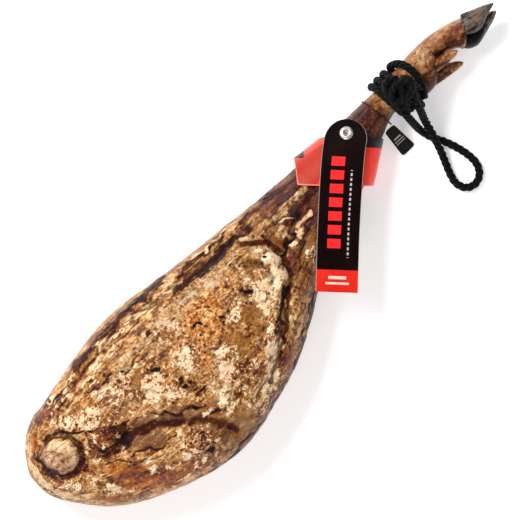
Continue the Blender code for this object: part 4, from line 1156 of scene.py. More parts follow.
def round_rings(balls, places, sides):
    """Parallel rings along a tapering round rod given by centres and radii."""
    line = smooth_line(balls, places)
    heading = (Vector(balls[-1][:3]) - Vector(balls[0][:3])).normalized()
    across = heading.cross(Vector((0, 0, 1))).normalized()
    up = across.cross(heading)
    angles = np.linspace(0, 2 * math.pi, sides, endpoint=False)
    spokes = np.array([across * math.cos(a) + up * math.sin(a) for a in angles])
    return [row[:3] + spokes * row[3] for row in line]


def loft(name, rings, material, tip=None):
    """A closed mesh through rings of equal count, with a flat first end and a tip or a flat last end."""
    sides = len(rings[0])
    points = np.vstack(rings)
    faces = [tuple(range(sides))] + ring_faces(len(rings), sides)
    last = (len(rings) - 1) * sides
    if tip is None:
        faces.append(tuple(range(last, last + sides)))
    else:
        points = np.vstack([points, [tip]])
        faces += [(last + i, last + (i + 1) % sides, len(points) - 1) for i in range(sides)]
    return mesh_object(name, points, faces, material)


def soften_near(piece, centres, reach, rounds):
    """Evens out the surface close to some places, where lobes were joined on."""
    body = bmesh.new()
    body.from_mesh(piece.data)
    near = []
    for vert in body.verts:
        if any((vert.co / MM - Vector(centre)).length < reach for centre in centres):
            near.append(vert)
    for _ in range(rounds):
        bmesh.ops.smooth_vert(body, verts=near, factor=0.5, use_axis_x=True, use_axis_y=True, use_axis_z=True)
    body.to_mesh(piece.data)
    body.free()
    piece.data.shade_smooth()


# Narrow folds and cracks on the shown face: a path in photo pixels, its width and its height.
FOLDS = [
    ([(108, 462), (130, 460), (159, 456), (186, 449)], 1.5, -1.2),
    ([(104, 476), (130, 469), (160, 464), (184, 458)], 2.0, .9),
    ([(136, 416), (160, 412), (188, 410), (206, 403)], 1.5, -1.4),
    ([(134, 451), (160, 445), (176, 434)], 1.8, -1.2),
    ([(68, 383), (59, 398), (49, 402)], 1.6, -1.3),
    ([(59, 432), (68, 430), (77, 431), (86, 432)], 1.3, -1.6),
    ([(61, 438), (70, 435), (78, 439), (83, 446), (86, 456), (86, 464)], 1.2, -1.3),
    ([(46, 452), (54, 446), (64, 447), (70, 455), (66, 464), (56, 464)], 1.3, .9),
    ([(96, 404), (112, 388), (128, 368), (150, 342), (176, 318)], 1.6, -1.0),
    ([(104, 412), (124, 392), (138, 366)], 1.6, .9),
    ([(284, 352), (290, 330), (292, 306), (294, 284)], 1.6, .9),
    ([(300, 268), (304, 240), (312, 214)], 1.8, -1.2),
    ([(306, 290), (309, 262), (315, 238)], 1.6, .8),
    ([(238, 238), (262, 222), (288, 200), (308, 180)], 1.6, -1.0),
    ([(186, 265), (214, 243), (244, 218), (276, 188)], 1.6, .9),
    ([(246, 252), (262, 240), (282, 224), (296, 208)], 1.6, .8),
    ([(216, 258), (222, 252), (228, 256), (224, 262)], 1.2, .8),
    ([(163, 488), (178, 482), (192, 474)], 1.0, .8),
]
# How deep a hollow counts as full, and how far round it the surface is averaged.
CAVITY_SCALE = 0.55
CAVITY_ROUNDS = 8

# The fleshy lobes of the small claws, and where their joints with the leg are evened out.
LOBE_RINGS = 22
LOBE_SIDES = 36
LOBE_ROOTS = [(290, 52, 46), (283, 42, 26)]
LOBE_REACH = 22
LOBE_ROUNDS = 4
# How strong the fine relief is along the leg.
DETAIL_X = (-402, 150, 220, 363)
DETAIL_LEVELS = (1, 0.7, 0.4, 0.35)
# Lumps all over the skin: height, size and seed.
SKIN_LUMPS = ((0.9, 22, 1), (0.55, 11, 2), (0.3, 5.6, 5))
GRAIN_SQUEEZE = (0.16, 1.0, 0.6)
GRAIN_SIZE, GRAIN_HEIGHT = 5.0, 1.1
CRUMB_SIZE, CRUMB_HEIGHT = 4.6, 0.9
CREAM_HEIGHT = 0.4
DARK_DEPTH = 1.3
# Fine relief begins between these heights, so that the underside stays flat on the floor.
DETAIL_FADE = (1.5, 14)


def cavity(piece, points, normals):
    """How far each point lies below its surroundings, as a share of CAVITY_SCALE."""
    pairs = np.empty(len(piece.data.edges) * 2, np.int32)
    piece.data.edges.foreach_get("vertices", pairs)
    here, there = pairs[::2], pairs[1::2]
    count = len(points)
    shares = np.bincount(here, minlength=count) + np.bincount(there, minlength=count)
    smooth = points.copy()
    for _ in range(CAVITY_ROUNDS):
        for axis in range(3):
            near = np.bincount(here, smooth[there, axis], count)
            near = near + np.bincount(there, smooth[here, axis], count)
            smooth[:, axis] = near / shares
    return np.clip(0.5 + np.einsum("ij,ij->i", smooth - points, normals) / CAVITY_SCALE / 2, 0, 1)


def leg():
    """The leg with its lobes joined on, then its folds, pits and flakes pushed into the mesh."""
    rind = ham_material()
    skin = skin_mesh(rind)
    for side in ("near", "far"):
        rings = round_rings(DEWCLAWS[side], np.linspace(0, HORN_START, LOBE_RINGS), LOBE_SIDES)
        lobe = loft("lobe", rings, rind)
        union = skin.modifiers.new("lobe", "BOOLEAN")
        union.operation = "UNION"
        union.solver = "EXACT"
        union.object = lobe
        apply_modifiers(skin)
        bpy.data.objects.remove(lobe)
    soften_near(skin, LOBE_ROOTS, LOBE_REACH, LOBE_ROUNDS)
    points = points_of(skin)
    masks = paint(skin, points)
    normals = normals_of(skin)
    body = np.interp(points[:, 0], DETAIL_X, DETAIL_LEVELS)
    level = {name: np.clip(masks[name], 0, 1) for name in ("fibre", "orange", "cream", "dark")}
    rise = sum(height * field_noise(points, size, seed) for height, size, seed in SKIN_LUMPS)
    rise += level["fibre"] * GRAIN_HEIGHT * field_noise(points * GRAIN_SQUEEZE, GRAIN_SIZE, 6)
    rise += level["orange"] * CRUMB_HEIGHT * field_noise(points, CRUMB_SIZE, 7)
    rise += CREAM_HEIGHT * level["cream"] - DARK_DEPTH * level["dark"]
    flat = wandering(points)
    for pixels, width, height in FOLDS:
        rise += height * photo_path(flat, pixels, width)
    rise *= body * ease(points[:, 2], *DETAIL_FADE)
    points += normals * rise[:, None]
    points[:, 2] = np.maximum(points[:, 2], 0)
    put_points(skin, points)
    set_attribute(skin, "cavity", cavity(skin, points, normals_of(skin)))
    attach(skin, "root")
    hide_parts("ham")


# Hoof and dewclaws

CLAW_STATIONS = {
    "near": [
        ((366.4, 72.8), (349.2, 53.3), 38, 62.5),
        ((370.4, 71.4), (354.6, 48.9), 36.8, 64),
        ((377.0, 68.1), (363.2, 44.6), 36.8, 63.4),
        ((386.0, 64.4), (374.0, 44.7), 38.6, 61),
        ((394.2, 60.6), (385.6, 49.8), 42, 57.5),
        ((399.8, 57.4), (396.2, 52.6), 46, 53.6),
    ],
    "far": [
        ((353.4, 58.2), (339.2, 41.6), 13, 36),
        ((360.0, 56.2), (344.6, 36.0), 11.5, 36.2),
        ((370.2, 54.6), (354.6, 32.4), 11, 36.2),
        ((380.0, 53.2), (366.2, 34.4), 12, 35.6),
        ((389.0, 52.0), (379.6, 37.8), 14.5, 33.4),
        ((396.2, 49.8), (392.0, 41.5), 19, 28.6),
    ],
}
CLAW_TIPS = {"near": (402.0, 55.0, 49.8), "far": (399.2, 46.0, 23.6)}
CLAW_RINGS = 60
CLAW_SIDES = 48
CLAW_SQUARENESS = 0.85
CLAW_WIDEST_LEVEL = 0.5
# The rim's inner ring is drawn in along the claw and pulled off its edges.
CLAW_RIM_IN = 2.6
CLAW_RIM_ACROSS = 1.2
# Where growth rings are counted from, and over what length.
CLAW_ROOT_X = 345
CLAW_GROWTH = 56
HORN_SIDES = 32
HORN_RINGS = 24
HORN_OVERLAP = 0.25

# Which way the horn's streaks run, and its dark and light places, in photo pixels. The dark places are
# painted shade: the gap between the two claws, their heels and the far claw's back.
HORN_ALONG = (0.985, -0.17)
HORN_DARK = {
    "near": [(471, 36, 6, 4, .8), (463, 15, 2, 3, .6), (492, 4, 2.4, 2, .6)],
    "far": [(470, 41, 9, 7, .9), (478, 34, 6, 7, .8)],
}
HORN_DARK_PATHS = [([(492, 12), (489, 15), (486, 20), (483, 26), (480, 31), (476, 34)], 1.6, 1)]
HORN_LIGHT = [(477, 17, 6, 6, 1), (481, 21, 3, 6, .7), (495, 13, 1.6, 3, 1), (490, 23, 1.8, 7, 1),
              (486, 31, 1.6, 5, .8)]


def horn_material():
    shader = Shader("hoof_horn", specular=0.24)
    place = shader.place()
    line = shader.attribute("horn_line", "Vector")
    ridges = shader.noise(shader.scaled(line, (30, 420, 300)), 1, 5, 0.6, 0.3)
    rings = shader.math("SINE", shader.total((shader.attribute("growth"), 55), (ridges, 3)))
    cloud = shader.noise(place, 120, 4, 0.6)
    fine = shader.noise(place, 1200, 2, 0.6)
    # Painted shade: the dark places darken the horn between and under the claws.
    tone = shader.total(0.38, (ridges, 3.0), (cloud, 1.0), (rings, 0.05), (shader.attribute("dark"), -1.2),
                        (shader.attribute("light"), 0.7))
    colour = shader.mix(shader.step(tone, 0.0, 1.0), srgb(5, 3, 2), srgb(114, 98, 86))
    worn = shader.step(shader.total(shader.attribute("growth"), (cloud, 0.5)), 0.86, 1.0)
    colour = shader.mix(shader.times(worn, 0.4), colour, srgb(130, 112, 98))
    shader.set("Base Color", colour)
    shader.set("Roughness", shader.total(0.3, (cloud, 0.4)))
    shader.bump(shader.total((ridges, 1.0), (rings, 0.08), (fine, 0.2)), 0.0009)
    return shader.material


def claw(side, material):
    rows = with_rounded_tip(station_rows(CLAW_STATIONS[side], CLAW_TIPS[side], tip_first=False), False)
    fine = smooth_line(rows, np.linspace(0, len(rows) - 2, CLAW_RINGS + 1)[:-1])
    inner = fine[0].copy()
    inner[[0, 2]] -= CLAW_RIM_IN
    inner[[1, 3]] += CLAW_RIM_ACROSS
    angles = np.linspace(0, 2 * math.pi, CLAW_SIDES, endpoint=False)
    rings = [section_ring(row, angles, CLAW_SQUARENESS, CLAW_WIDEST_LEVEL) for row in (inner, *fine)]
    made = loft("claw_horn_" + side, rings, material, CLAW_TIPS[side])
    points = points_of(made)
    set_attribute(made, "growth", np.clip((points[:, 0] - CLAW_ROOT_X) / CLAW_GROWTH, 0, 1))
    along = points[:, :2] @ np.array(HORN_ALONG)
    across = points[:, :2] @ np.array([-HORN_ALONG[1], HORN_ALONG[0]])
    set_attribute(made, "horn_line", np.column_stack([along, across, points[:, 2]]) * MM)
    set_attribute(made, "dark", painted(points[:, :2], HORN_DARK[side], HORN_DARK_PATHS))
    set_attribute(made, "light", painted(points[:, :2], HORN_LIGHT))
    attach(made, "root")
    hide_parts("claw_" + side)


def dewclaw_material():
    shader = Shader("dewclaw_horn", specular=0.5)
    place = shader.place()
    streaks = shader.noise(shader.scaled(place, (90, 500, 500)), 1, 4, 0.6)
    cloud = shader.noise(place, 160, 3, 0.6)
    tone = shader.total(0.5, (streaks, 1.4), (cloud, 1.2))
    shader.set("Base Color", shader.mix(shader.step(tone, 0.1, 0.9), srgb(92, 48, 20), srgb(200, 138, 80)))
    shader.set("Roughness", shader.total(0.4, (cloud, 0.3)))
    shader.bump(shader.total((streaks, 0.6), (cloud, 0.3)), 0.0006)
    return shader.material


def dewclaw(side, material):
    places = np.linspace(HORN_START - HORN_OVERLAP, len(DEWCLAWS[side]) - 1, HORN_RINGS)
    rings = round_rings(DEWCLAWS[side], places, HORN_SIDES)
    made = loft("dewclaw_horn_" + side, rings, material, HORN_TIPS[side])
    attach(made, "root")
    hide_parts("dewclaw_" + side)


# Seal

SEAL_CORD_D = 1.7
SEAL_CORD_LEFT_X = 205.0
SEAL_CORD_RIGHT_X = 211.0
SEAL_CORD_SLACK = 3.0
SEAL_CORD_SLACK_WIDTH = 0.4
SEAL_CORD_CLEAR = 0.6
SEAL_CORD_POINTS = 120
STRING_SIDES = 8
STRING_LAY = 5.0
STRING_FULLNESS = 1.05
SEAL_TAG_TOP = (205.6, 36.0, 32.0)
SEAL_TAG_FOOT = (205.2, 0.6, 1.7)
SEAL_TAG_TOP_WIDTH = 15.0
SEAL_TAG_FOOT_WIDTH = 20.5
SEAL_TAG_THICK = 1.6
SEAL_TAG_CORNER = 4.0
# Plain bars on the tag: start and end along it, and half width.
SEAL_TAG_BARS = ((17, 19.6, 5), (22.5, 24, 6.5), (26.5, 28, 6.5))
BAR_EDGE_ALONG = 0.3
BAR_EDGE_ACROSS = 0.4


def seal_material():
    shader = Shader("seal_black", specular=0.08)
    place = shader.place()
    dust = shader.noise(place, 300, 4, 0.7)
    along, across = shader.attribute("along"), shader.attribute("across")
    tone = shader.step(shader.total(0.4, (dust, 1.4)), 0.1, 0.9)
    colour = shader.mix(tone, srgb(6, 5, 5), srgb(34, 31, 29))
    away = shader.math("ABSOLUTE", across)
    bars = 0.0
    for start, end, half in SEAL_TAG_BARS:
        bar = shader.times(shader.step(along, start, start + BAR_EDGE_ALONG),
                           shader.without(shader.step(along, end, end + BAR_EDGE_ALONG)))
        bar = shader.times(bar, shader.without(shader.step(away, half, half + BAR_EDGE_ACROSS)))
        bars = shader.math("ADD", bars, bar)
    colour = shader.mix(shader.times(bars, 0.75), colour, srgb(176, 172, 166))
    shader.set("Base Color", colour)
    shader.set("Roughness", shader.total(0.36, (dust, 0.4)))
    shader.bump(dust, 0.0003)
    return shader.material


def seal():
    material = seal_material()
    points = []
    for k in range(SEAL_CORD_POINTS):
        angle = 2 * math.pi * k / SEAL_CORD_POINTS
        x = SEAL_CORD_RIGHT_X + (SEAL_CORD_LEFT_X - SEAL_CORD_RIGHT_X) * (1 + math.cos(angle)) / 2
        slack = SEAL_CORD_SLACK * math.exp(-((angle - math.pi) / SEAL_CORD_SLACK_WIDTH) ** 2)
        points.append(around_ankle(x, angle, SEAL_CORD_D / 2 + SEAL_CORD_CLEAR + slack))
    line = np.array(points + points[:1])
    cord = two_ply("seal_string", line, SEAL_CORD_D, material)
    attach(cord, "root")
    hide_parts("seal_cord")

    top, foot = Vector(SEAL_TAG_TOP), Vector(SEAL_TAG_FOOT)
    length = (foot - top).length
    down = (foot - top).normalized()
    across = Vector((0, 0, 1)).cross(down).normalized()
    out = down.cross(across)
    if out.z < 0:
        out = -out
    tag = card("seal_plate", length, lambda along: tag_half_width(along, length),
               lambda along: (np.array(top + down * along), np.array(across), np.array(out)),
               SEAL_TAG_THICK, material, rows=44, columns=14)
    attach(tag, "root")
    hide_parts("seal_tag")


def tag_half_width(along, length):
    half = (SEAL_TAG_TOP_WIDTH + (SEAL_TAG_FOOT_WIDTH - SEAL_TAG_TOP_WIDTH) * along / length) / 2
    for edge in (along, length - along):
        if edge < SEAL_TAG_CORNER:
            half -= SEAL_TAG_CORNER - math.sqrt(SEAL_TAG_CORNER ** 2 - (SEAL_TAG_CORNER - edge) ** 2)
    return half


def two_ply(name, line, diameter, material):
    """Two twisted strands round a line."""
    _, across, up = directions(line)
    run = distances(line)
    angles = np.linspace(0, 2 * math.pi, STRING_SIDES, endpoint=False)
    points, faces = [], []
    radius = diameter / 4
    for k in (0, 1):
        turn = 2 * math.pi * run / STRING_LAY + math.pi * k
        outward = np.cos(turn)[:, None] * across + np.sin(turn)[:, None] * up
        centre = line + radius * outward
        _, side, lift = directions(centre)
        spokes = np.cos(angles)[None, :, None] * side[:, None] + np.sin(angles)[None, :, None] * lift[:, None]
        points.append((centre[:, None] + radius * STRING_FULLNESS * spokes).reshape(-1, 3))
        faces += ring_faces(len(line), STRING_SIDES, k * len(line) * STRING_SIDES)
    return mesh_object(name, np.vstack(points), faces, material)


# Cards: the label and the collar

LABEL_TOP = (173.1, 83.8)
LABEL_AXIS = (-0.730, -0.683)
LABEL_LENGTH = 210.0
LABEL_WIDTH = 52.0
LABEL_THICK = 1.2
# Along, height, lean in degrees, and how far to the side its middle lies.
LABEL_STATIONS = [
    (0, 65.2, 0, 5.4), (18, 68.6, 0, 4.4), (38, 72.8, 2, 2.2), (60, 76.9, 4, 0.8), (85, 79.8, 6.5, 0),
    (110, 81.3, 8.6, -0.5), (140, 82.3, 10, -0.8), (175, 82.5, 10, -0.6), (210, 81.6, 10, -0.2),
]
LABEL_SLOPE_STEP = 0.5
CARD_LEAST_HALF_WIDTH = 0.4
# How much closer a card's rows lie at its two ends: 0 not at all, 1 fully.
CARD_CROWDING = 0.35
# Plain marks on the label: along from its top, and across from its middle.
LABEL_FOOT_EDGE = (182.8, 183.2)
LABEL_BLOCK_STARTS = (46, 160, 16.6)
LABEL_BLOCK_LENGTH = 11.4
LABEL_BLOCK_ACROSS = (-13.5, 3.0)
LABEL_DASHES_ALONG = (62, 168)
LABEL_DASHES_ACROSS = (11.0, 13.2)
LABEL_DASHES_TURN = 1.05
LABEL_FOOT_BARS = ((190.5, 194.2, 11), (198.0, 200.6, 14.5))
STUD_FROM_TOP = 17.4
STUD_DIAMETER = 16.6
STUD_OVER_LABEL = 0.1
STUD_SIDES = 64
STUD_RINGS = 60
# Radius and height over the label, from the cap's middle to its underside.
STUD_PROFILE = [
    (0.02, 0.8), (1.6, 0.75), (2.4, 0.9), (3.0, 1.5), (3.5, 2.35), (4.2, 2.7), (5.2, 2.7),
    (6.4, 2.35), (7.4, 1.7), (8.0, 1.0), (STUD_DIAMETER / 2, 0.4), (8.1, 0.0), (6.0, 0.0), (0.02, 0.0),
]


def label_frame(along):
    """The label's middle at that distance from its top, and its directions across and up."""
    places = [station[0] for station in LABEL_STATIONS]
    near = [along - LABEL_SLOPE_STEP, along, along + LABEL_SLOPE_STEP]
    spot = np.interp(near, places, range(len(places)))
    rows = smooth_line(LABEL_STATIONS, np.clip(spot, 0, len(places) - 1.0001))
    axis = np.array(LABEL_AXIS) / np.linalg.norm(LABEL_AXIS)
    level_across = np.array([-axis[1], axis[0], 0])
    middle = np.array([*(np.array(LABEL_TOP) + axis * along), rows[1][1]]) + level_across * rows[1][3]
    tilt = math.radians(rows[1][2])
    across = level_across * math.cos(tilt) - np.array([0, 0, math.sin(tilt)])
    heading = np.array([*axis, rows[2][1] - rows[0][1]])
    up = np.cross(across, heading)
    up /= np.linalg.norm(up)
    return middle, across, up if up[2] > 0 else -up


def label_half_width(along):
    radius = LABEL_WIDTH / 2
    if along >= radius:
        return radius
    return math.sqrt(max(0.0, radius ** 2 - (radius - along) ** 2))


def card(name, length, half_width, placed, thickness, material, rows, columns, start=0.0):
    """A card as a closed mesh, its outline given by the half width, with how far along and across each point
    lies.
    """
    ease_in = (1 - np.cos(np.linspace(0, math.pi, rows))) / 2
    spread = CARD_CROWDING * ease_in + (1 - CARD_CROWDING) * np.linspace(0, 1, rows)
    alongs = start + (length - start) * spread
    shares = np.linspace(-1, 1, columns + 1)
    points, along_values, across_values, rim_values, faces = [], [], [], [], []
    for level in (0.5, -0.5):
        for along in alongs:
            half = max(half_width(along), CARD_LEAST_HALF_WIDTH)
            middle, across, up = placed(along)
            for share in shares:
                points.append(middle + across * half * share + up * thickness * level)
                along_values.append(along)
                across_values.append(half * share)
                rim_values.append(half * (1 - abs(share)))
    wide = columns + 1
    deep = len(alongs) * wide
    for row in range(rows - 1):
        for column in range(columns):
            at = row * wide + column
            faces.append((at, at + 1, at + wide + 1, at + wide))
            faces.append((deep + at, deep + at + wide, deep + at + wide + 1, deep + at + 1))
    edge = list(range(wide))
    edge += [row * wide + columns for row in range(1, rows)]
    edge += [(rows - 1) * wide + column for column in range(columns - 1, -1, -1)]
    edge += [row * wide for row in range(rows - 2, 0, -1)]
    for here, after in zip(edge, edge[1:] + edge[:1]):
        faces.append((here, after, deep + after, deep + here))
    made = mesh_object(name, points, faces, material)
    set_attribute(made, "along", along_values)
    set_attribute(made, "across", across_values)
    set_attribute(made, "rim", rim_values)
    made.data.shade_smooth()
    made.data.set_sharp_from_angle(angle=SHARP_ANGLE)
    return made


def label_material():
    shader = Shader("label_card", specular=0.14)
    place = shader.place()
    along, across = shader.attribute("along"), shader.attribute("across")
    grain = shader.noise(place, 900, 3, 0.6)
    smudge = shader.noise(place, 40, 4, 0.6)
    black = shader.mix(shader.step(shader.total(0.4, (smudge, 1.2)), 0, 1), srgb(8, 1, 1), srgb(24, 5, 4))
    red_tone = shader.step(shader.total(0.5, (smudge, 1.0)), 0, 1)
    red = shader.mix(red_tone, srgb(200, 30, 18), srgb(222, 50, 34))
    colour = shader.mix(shader.step(along, *LABEL_FOOT_EDGE), black, red)
    blocks = 0.0
    for start in np.arange(*LABEL_BLOCK_STARTS).tolist():
        blocks = shader.math("ADD", blocks, shader.inside(along, start, start + LABEL_BLOCK_LENGTH))
    blocks = shader.times(blocks, shader.inside(across, *LABEL_BLOCK_ACROSS))
    colour = shader.mix(blocks, colour, srgb(226, 44, 44))
    thin = shader.times(shader.inside(across, *LABEL_DASHES_ACROSS),
                        shader.inside(along, *LABEL_DASHES_ALONG))
    dashes = shader.step(shader.math("SINE", shader.times(along, LABEL_DASHES_TURN)), -0.35, 0.05)
    colour = shader.mix(shader.times(thin, shader.times(dashes, 0.75)), colour, srgb(214, 206, 198))
    foot_bars = 0.0
    for start, end, half in LABEL_FOOT_BARS:
        bar = shader.times(shader.inside(along, start, end), shader.inside(across, -half, half))
        foot_bars = shader.math("ADD", foot_bars, bar)
    colour = shader.mix(shader.times(foot_bars, 0.85), colour, srgb(246, 214, 200))
    cut = shader.without(shader.step(shader.attribute("rim"), 0.25, 0.7))
    colour = shader.mix(shader.times(cut, 0.55), colour, srgb(206, 196, 190))
    shader.set("Base Color", colour)
    shader.set("Roughness", shader.total(0.30, (grain, 0.15), (smudge, 0.15)))
    shader.bump(shader.total((grain, 0.5), (smudge, 0.4)), 0.0001)
    return shader.material


def label():
    made = card("label_card", LABEL_LENGTH, label_half_width, label_frame, LABEL_THICK, label_material(),
                rows=120, columns=24, start=0.12)
    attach(made, "root")
    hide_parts("label_tag")


def stud_material():
    shader = Shader("stud_metal", metallic=1.0)
    place = shader.place()
    brushed = shader.noise(place, 500, 3, 0.6)
    tarnish = shader.noise(place, 160, 4, 0.6)
    tone = shader.step(shader.total(0.5, (brushed, 0.8), (tarnish, 1.2)), 0, 1)
    bright = shader.mix(tone, srgb(190, 186, 178), srgb(240, 237, 230))
    radius = shader.attribute("radius")
    # Painted shade: a darker ring on the cap's inner slope and a dark dimple in its middle.
    ring = shader.inside(radius, 2.6, 4.0, 0.3)
    dimple = shader.without(shader.step(radius, 1.5, 2.1))
    bright = shader.mix(shader.times(ring, 0.6), bright, srgb(120, 112, 100))
    shader.set("Base Color", shader.mix(shader.times(dimple, 0.85), bright, srgb(50, 42, 36)))
    shader.set("Roughness", shader.total(0.4, (brushed, 0.2), (tarnish, 0.2)))
    shader.bump(brushed, 0.0001)
    return shader.material


def stud():
    over = LABEL_THICK / 2 + STUD_OVER_LABEL
    line = smooth_line(STUD_PROFILE, np.linspace(0, len(STUD_PROFILE) - 1, STUD_RINGS))
    middle, across, up = label_frame(STUD_FROM_TOP)
    along = np.cross(up, across)
    angles = np.linspace(0, 2 * math.pi, STUD_SIDES, endpoint=False)
    spokes = np.cos(angles)[:, None] * across + np.sin(angles)[:, None] * along
    rings = [middle + spokes * radius + up * (height + over) for radius, height in line]
    made = loft("press_stud", rings, stud_material())
    away = points_of(made) - middle
    set_attribute(made, "radius", np.linalg.norm(away - (away @ up)[:, None] * up, axis=1))
    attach(made, "root")
    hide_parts("label_stud")


# The collar's foot and top are lines square to its axis, at these distances along it.
COLLAR_AXIS = (-0.704, -0.710)
COLLAR_TOP_LINE = -159.0
COLLAR_FOOT_LINE = -100.0
COLLAR_CORNER_X = 12.5
COLLAR_THICK = 1.0
COLLAR_SIDES = 160
COLLAR_ROWS = 28
# How far it stands off the skin all round, and how much more at its foot and its top, left and right.
COLLAR_CLEAR = 2.2
COLLAR_LEFT_CLEAR = (8.0, 3.0)
COLLAR_RIGHT_CLEAR = (8.6, -0.7)
COLLAR_TOP_LEFT = 6.0
COLLAR_TOP_UNDER = 6.0
COLLAR_FOOT_UNDER = 4.0
COLLAR_FOOT_RIGHT = 8.0
TONGUE_ANGLE = 1.05
TONGUE_WIDTH = 0.28
TONGUE_REACH = 23.0
UNDER_LABEL_REACH = 12.0
UNDER_LABEL_ABOVE = 40.0
LINE_ROUNDS = 40
STUD_SPAN = 8.0
GAP = 0.3


def skin_on_line(line, angle):
    """Where the skin at that angle meets a line square to the collar's axis, closed in on by halves."""
    x = -line
    for _ in range(LINE_ROUNDS):
        y = section_ring(leg_row_at(x), np.array([angle]))[0][1]
        x = (x + (line - COLLAR_AXIS[1] * y) / COLLAR_AXIS[0]) / 2
    return x, y


def collar_edges(angle):
    """Where the band starts and ends along the shank at that angle round it, from foot to top."""
    top, _ = skin_on_line(COLLAR_TOP_LINE, angle)
    foot, y_foot = skin_on_line(COLLAR_FOOT_LINE, angle)
    foot = max(foot, y_foot + COLLAR_CORNER_X)
    under = max(0.0, -math.sin(angle))
    left = max(0.0, math.cos(angle)) ** 6
    right = max(0.0, -math.cos(angle)) ** 4
    tongue = TONGUE_REACH * math.exp(-((angle - TONGUE_ANGLE) / TONGUE_WIDTH) ** 2)
    foot += under * COLLAR_FOOT_UNDER + right * COLLAR_FOOT_RIGHT
    return foot, top - left * COLLAR_TOP_LEFT - under * COLLAR_TOP_UNDER + tongue


def collar_clear(angle, share):
    """How far the band stands off the skin, from its foot at share 0 to its top at share 1."""
    left = max(0.0, math.cos(angle)) ** 4
    right = max(0.0, -math.cos(angle)) ** 4
    sides = COLLAR_LEFT_CLEAR, COLLAR_RIGHT_CLEAR
    out_left, out_right = (foot + (top - foot) * share for foot, top in sides)
    return COLLAR_CLEAR + left * out_left + right * out_right


def under_label(point):
    """The point, lifted where it is close to the stud, to lie flat under the label."""
    stud_middle, after = label_frame(STUD_FROM_TOP)[0], label_frame(STUD_FROM_TOP + STUD_SPAN)[0]
    along = (after - stud_middle) / np.linalg.norm((after - stud_middle)[:2])
    away = point - stud_middle
    level = stud_middle[2] + along[2] * np.dot(away[:2], along[:2])
    level -= (LABEL_THICK + COLLAR_THICK) / 2 + 2 * GAP
    if point[2] < UNDER_LABEL_ABOVE:
        return point
    near = math.exp(-(np.linalg.norm(away[:2]) / UNDER_LABEL_REACH) ** 4)
    return np.array([point[0], point[1], point[2] + near * (level - point[2])])


# The angle where the collar's colours start anew, its black corner and its fold, as photo pixels.
SEAM_ANGLE = 4.71
CORNER_PIXEL = (304.5, 159)
FOLD_PIXELS = ((299, 159.5), (324, 143.5))


def collar_material():
    shader = Shader("collar_card", specular=0.3)
    place = shader.place()
    share, angle = shader.attribute("share"), shader.attribute("angle")
    smudge = shader.noise(place, 45, 4, 0.6)
    grain = shader.noise(place, 900, 3, 0.6)
    smudged = shader.step(shader.total(0.5, (smudge, 1.2)), 0, 1)
    red = shader.mix(smudged, srgb(250, 36, 22), srgb(255, 58, 36))
    left = shader.without(shader.step(angle, 1.30, 1.36))
    fold = shader.step(shader.attribute("flap"), 0.45, 0.55)
    # Painted shade: the band below the fold line is a darker, shaded copy of the flap's red.
    under = shader.mix(smudged, srgb(168, 44, 30), srgb(186, 54, 38))
    over = shader.mix(smudged, srgb(200, 60, 42), srgb(218, 72, 52))
    red = shader.mix(left, red, shader.mix(fold, under, over))
    right_strip = shader.times(shader.step(share, 0.80, 0.81), shader.without(left))
    corner = shader.times(shader.attribute("corner"), left)
    colour = shader.mix(shader.step(corner, 0.4, 0.6), red, srgb(14, 4, 4))
    cut = shader.without(shader.step(share, 0.008, 0.03))
    colour = shader.mix(shader.times(cut, 0.5), colour, srgb(250, 170, 150))
    colour = shader.mix(right_strip, colour, srgb(14, 4, 4))
    shader.set("Base Color", colour)
    shader.set("Roughness", shader.total(0.3, (smudge, 0.2)))
    shader.bump(shader.total((grain, 0.4), (smudge, 0.5)), 0.0001)
    return shader.material


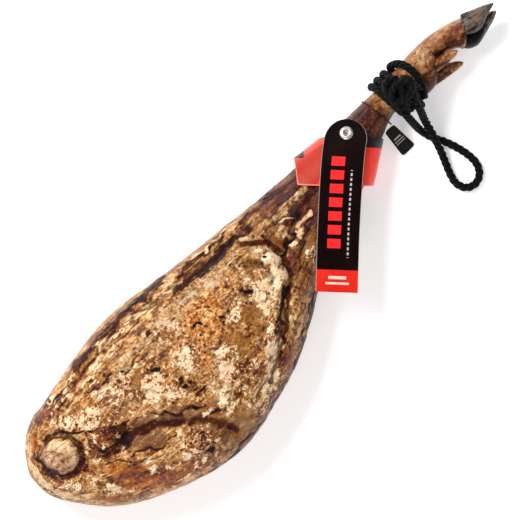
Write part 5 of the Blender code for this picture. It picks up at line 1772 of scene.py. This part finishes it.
def collar():
    points, share_values, angle_values = [], [], []
    for k in range(COLLAR_SIDES):
        angle = 2 * math.pi * k / COLLAR_SIDES
        foot, top = collar_edges(angle)
        for share in np.linspace(0, 1, COLLAR_ROWS):
            point = around_ankle(foot + (top - foot) * share, angle, collar_clear(angle, share))
            points.append(under_label(point))
            share_values.append(share)
            angle_values.append(angle if angle < SEAM_ANGLE else angle - 2 * math.pi)
    faces = []
    for k in range(COLLAR_SIDES):
        here, after = k * COLLAR_ROWS, (k + 1) % COLLAR_SIDES * COLLAR_ROWS
        for row in range(COLLAR_ROWS - 1):
            faces.append((here + row, after + row, after + row + 1, here + row + 1))
    made = mesh_object("collar_band", points, faces, collar_material())
    set_attribute(made, "share", share_values)
    set_attribute(made, "angle", angle_values)
    east, south = photo_pixels(points_of(made))
    right, below = CORNER_PIXEL
    set_attribute(made, "corner", ease(right - east, 0, 1) * ease(below - south, 0, 1))
    (start_x, start_y), (end_x, end_y) = FOLD_PIXELS
    line = start_y + (east - start_x) * (end_y - start_y) / (end_x - start_x)
    set_attribute(made, "flap", ease(line - south, -0.5, 0.5))
    thick = made.modifiers.new("thickness", "SOLIDIFY")
    thick.thickness = COLLAR_THICK * MM
    thick.offset = 0
    apply_modifiers(made)
    made.data.set_sharp_from_angle(angle=SHARP_ANGLE)
    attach(made, "root")
    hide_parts("collar")


def floor():
    shader = Shader("floor_paper", roughness=0.9, specular=0.1)
    grain = shader.noise(shader.place(), 60, 3, 0.5)
    shader.set("Base Color", shader.mix(shader.step(grain, -0.5, 0.5), FLOOR_GREY, FLOOR_WHITE))
    shader.set("Emission Color", (1, 1, 1, 1))
    shader.set("Emission Strength", FLOOR_GLOW)
    corners = [(x * FLOOR_HALF_SIDE, y * FLOOR_HALF_SIDE, 0) for x, y in ((-1, -1), (1, -1), (1, 1), (-1, 1))]
    made = mesh_object("floor", corners, [(0, 1, 2, 3)], shader.material, normals=False)


camera()
ropes()
lights()
floor()
leg()
horn = horn_material()
dewclaw_horn = dewclaw_material()
for side in ("near", "far"):
    claw(side, horn)
    dewclaw(side, dewclaw_horn)
seal()
label()
collar()
stud()
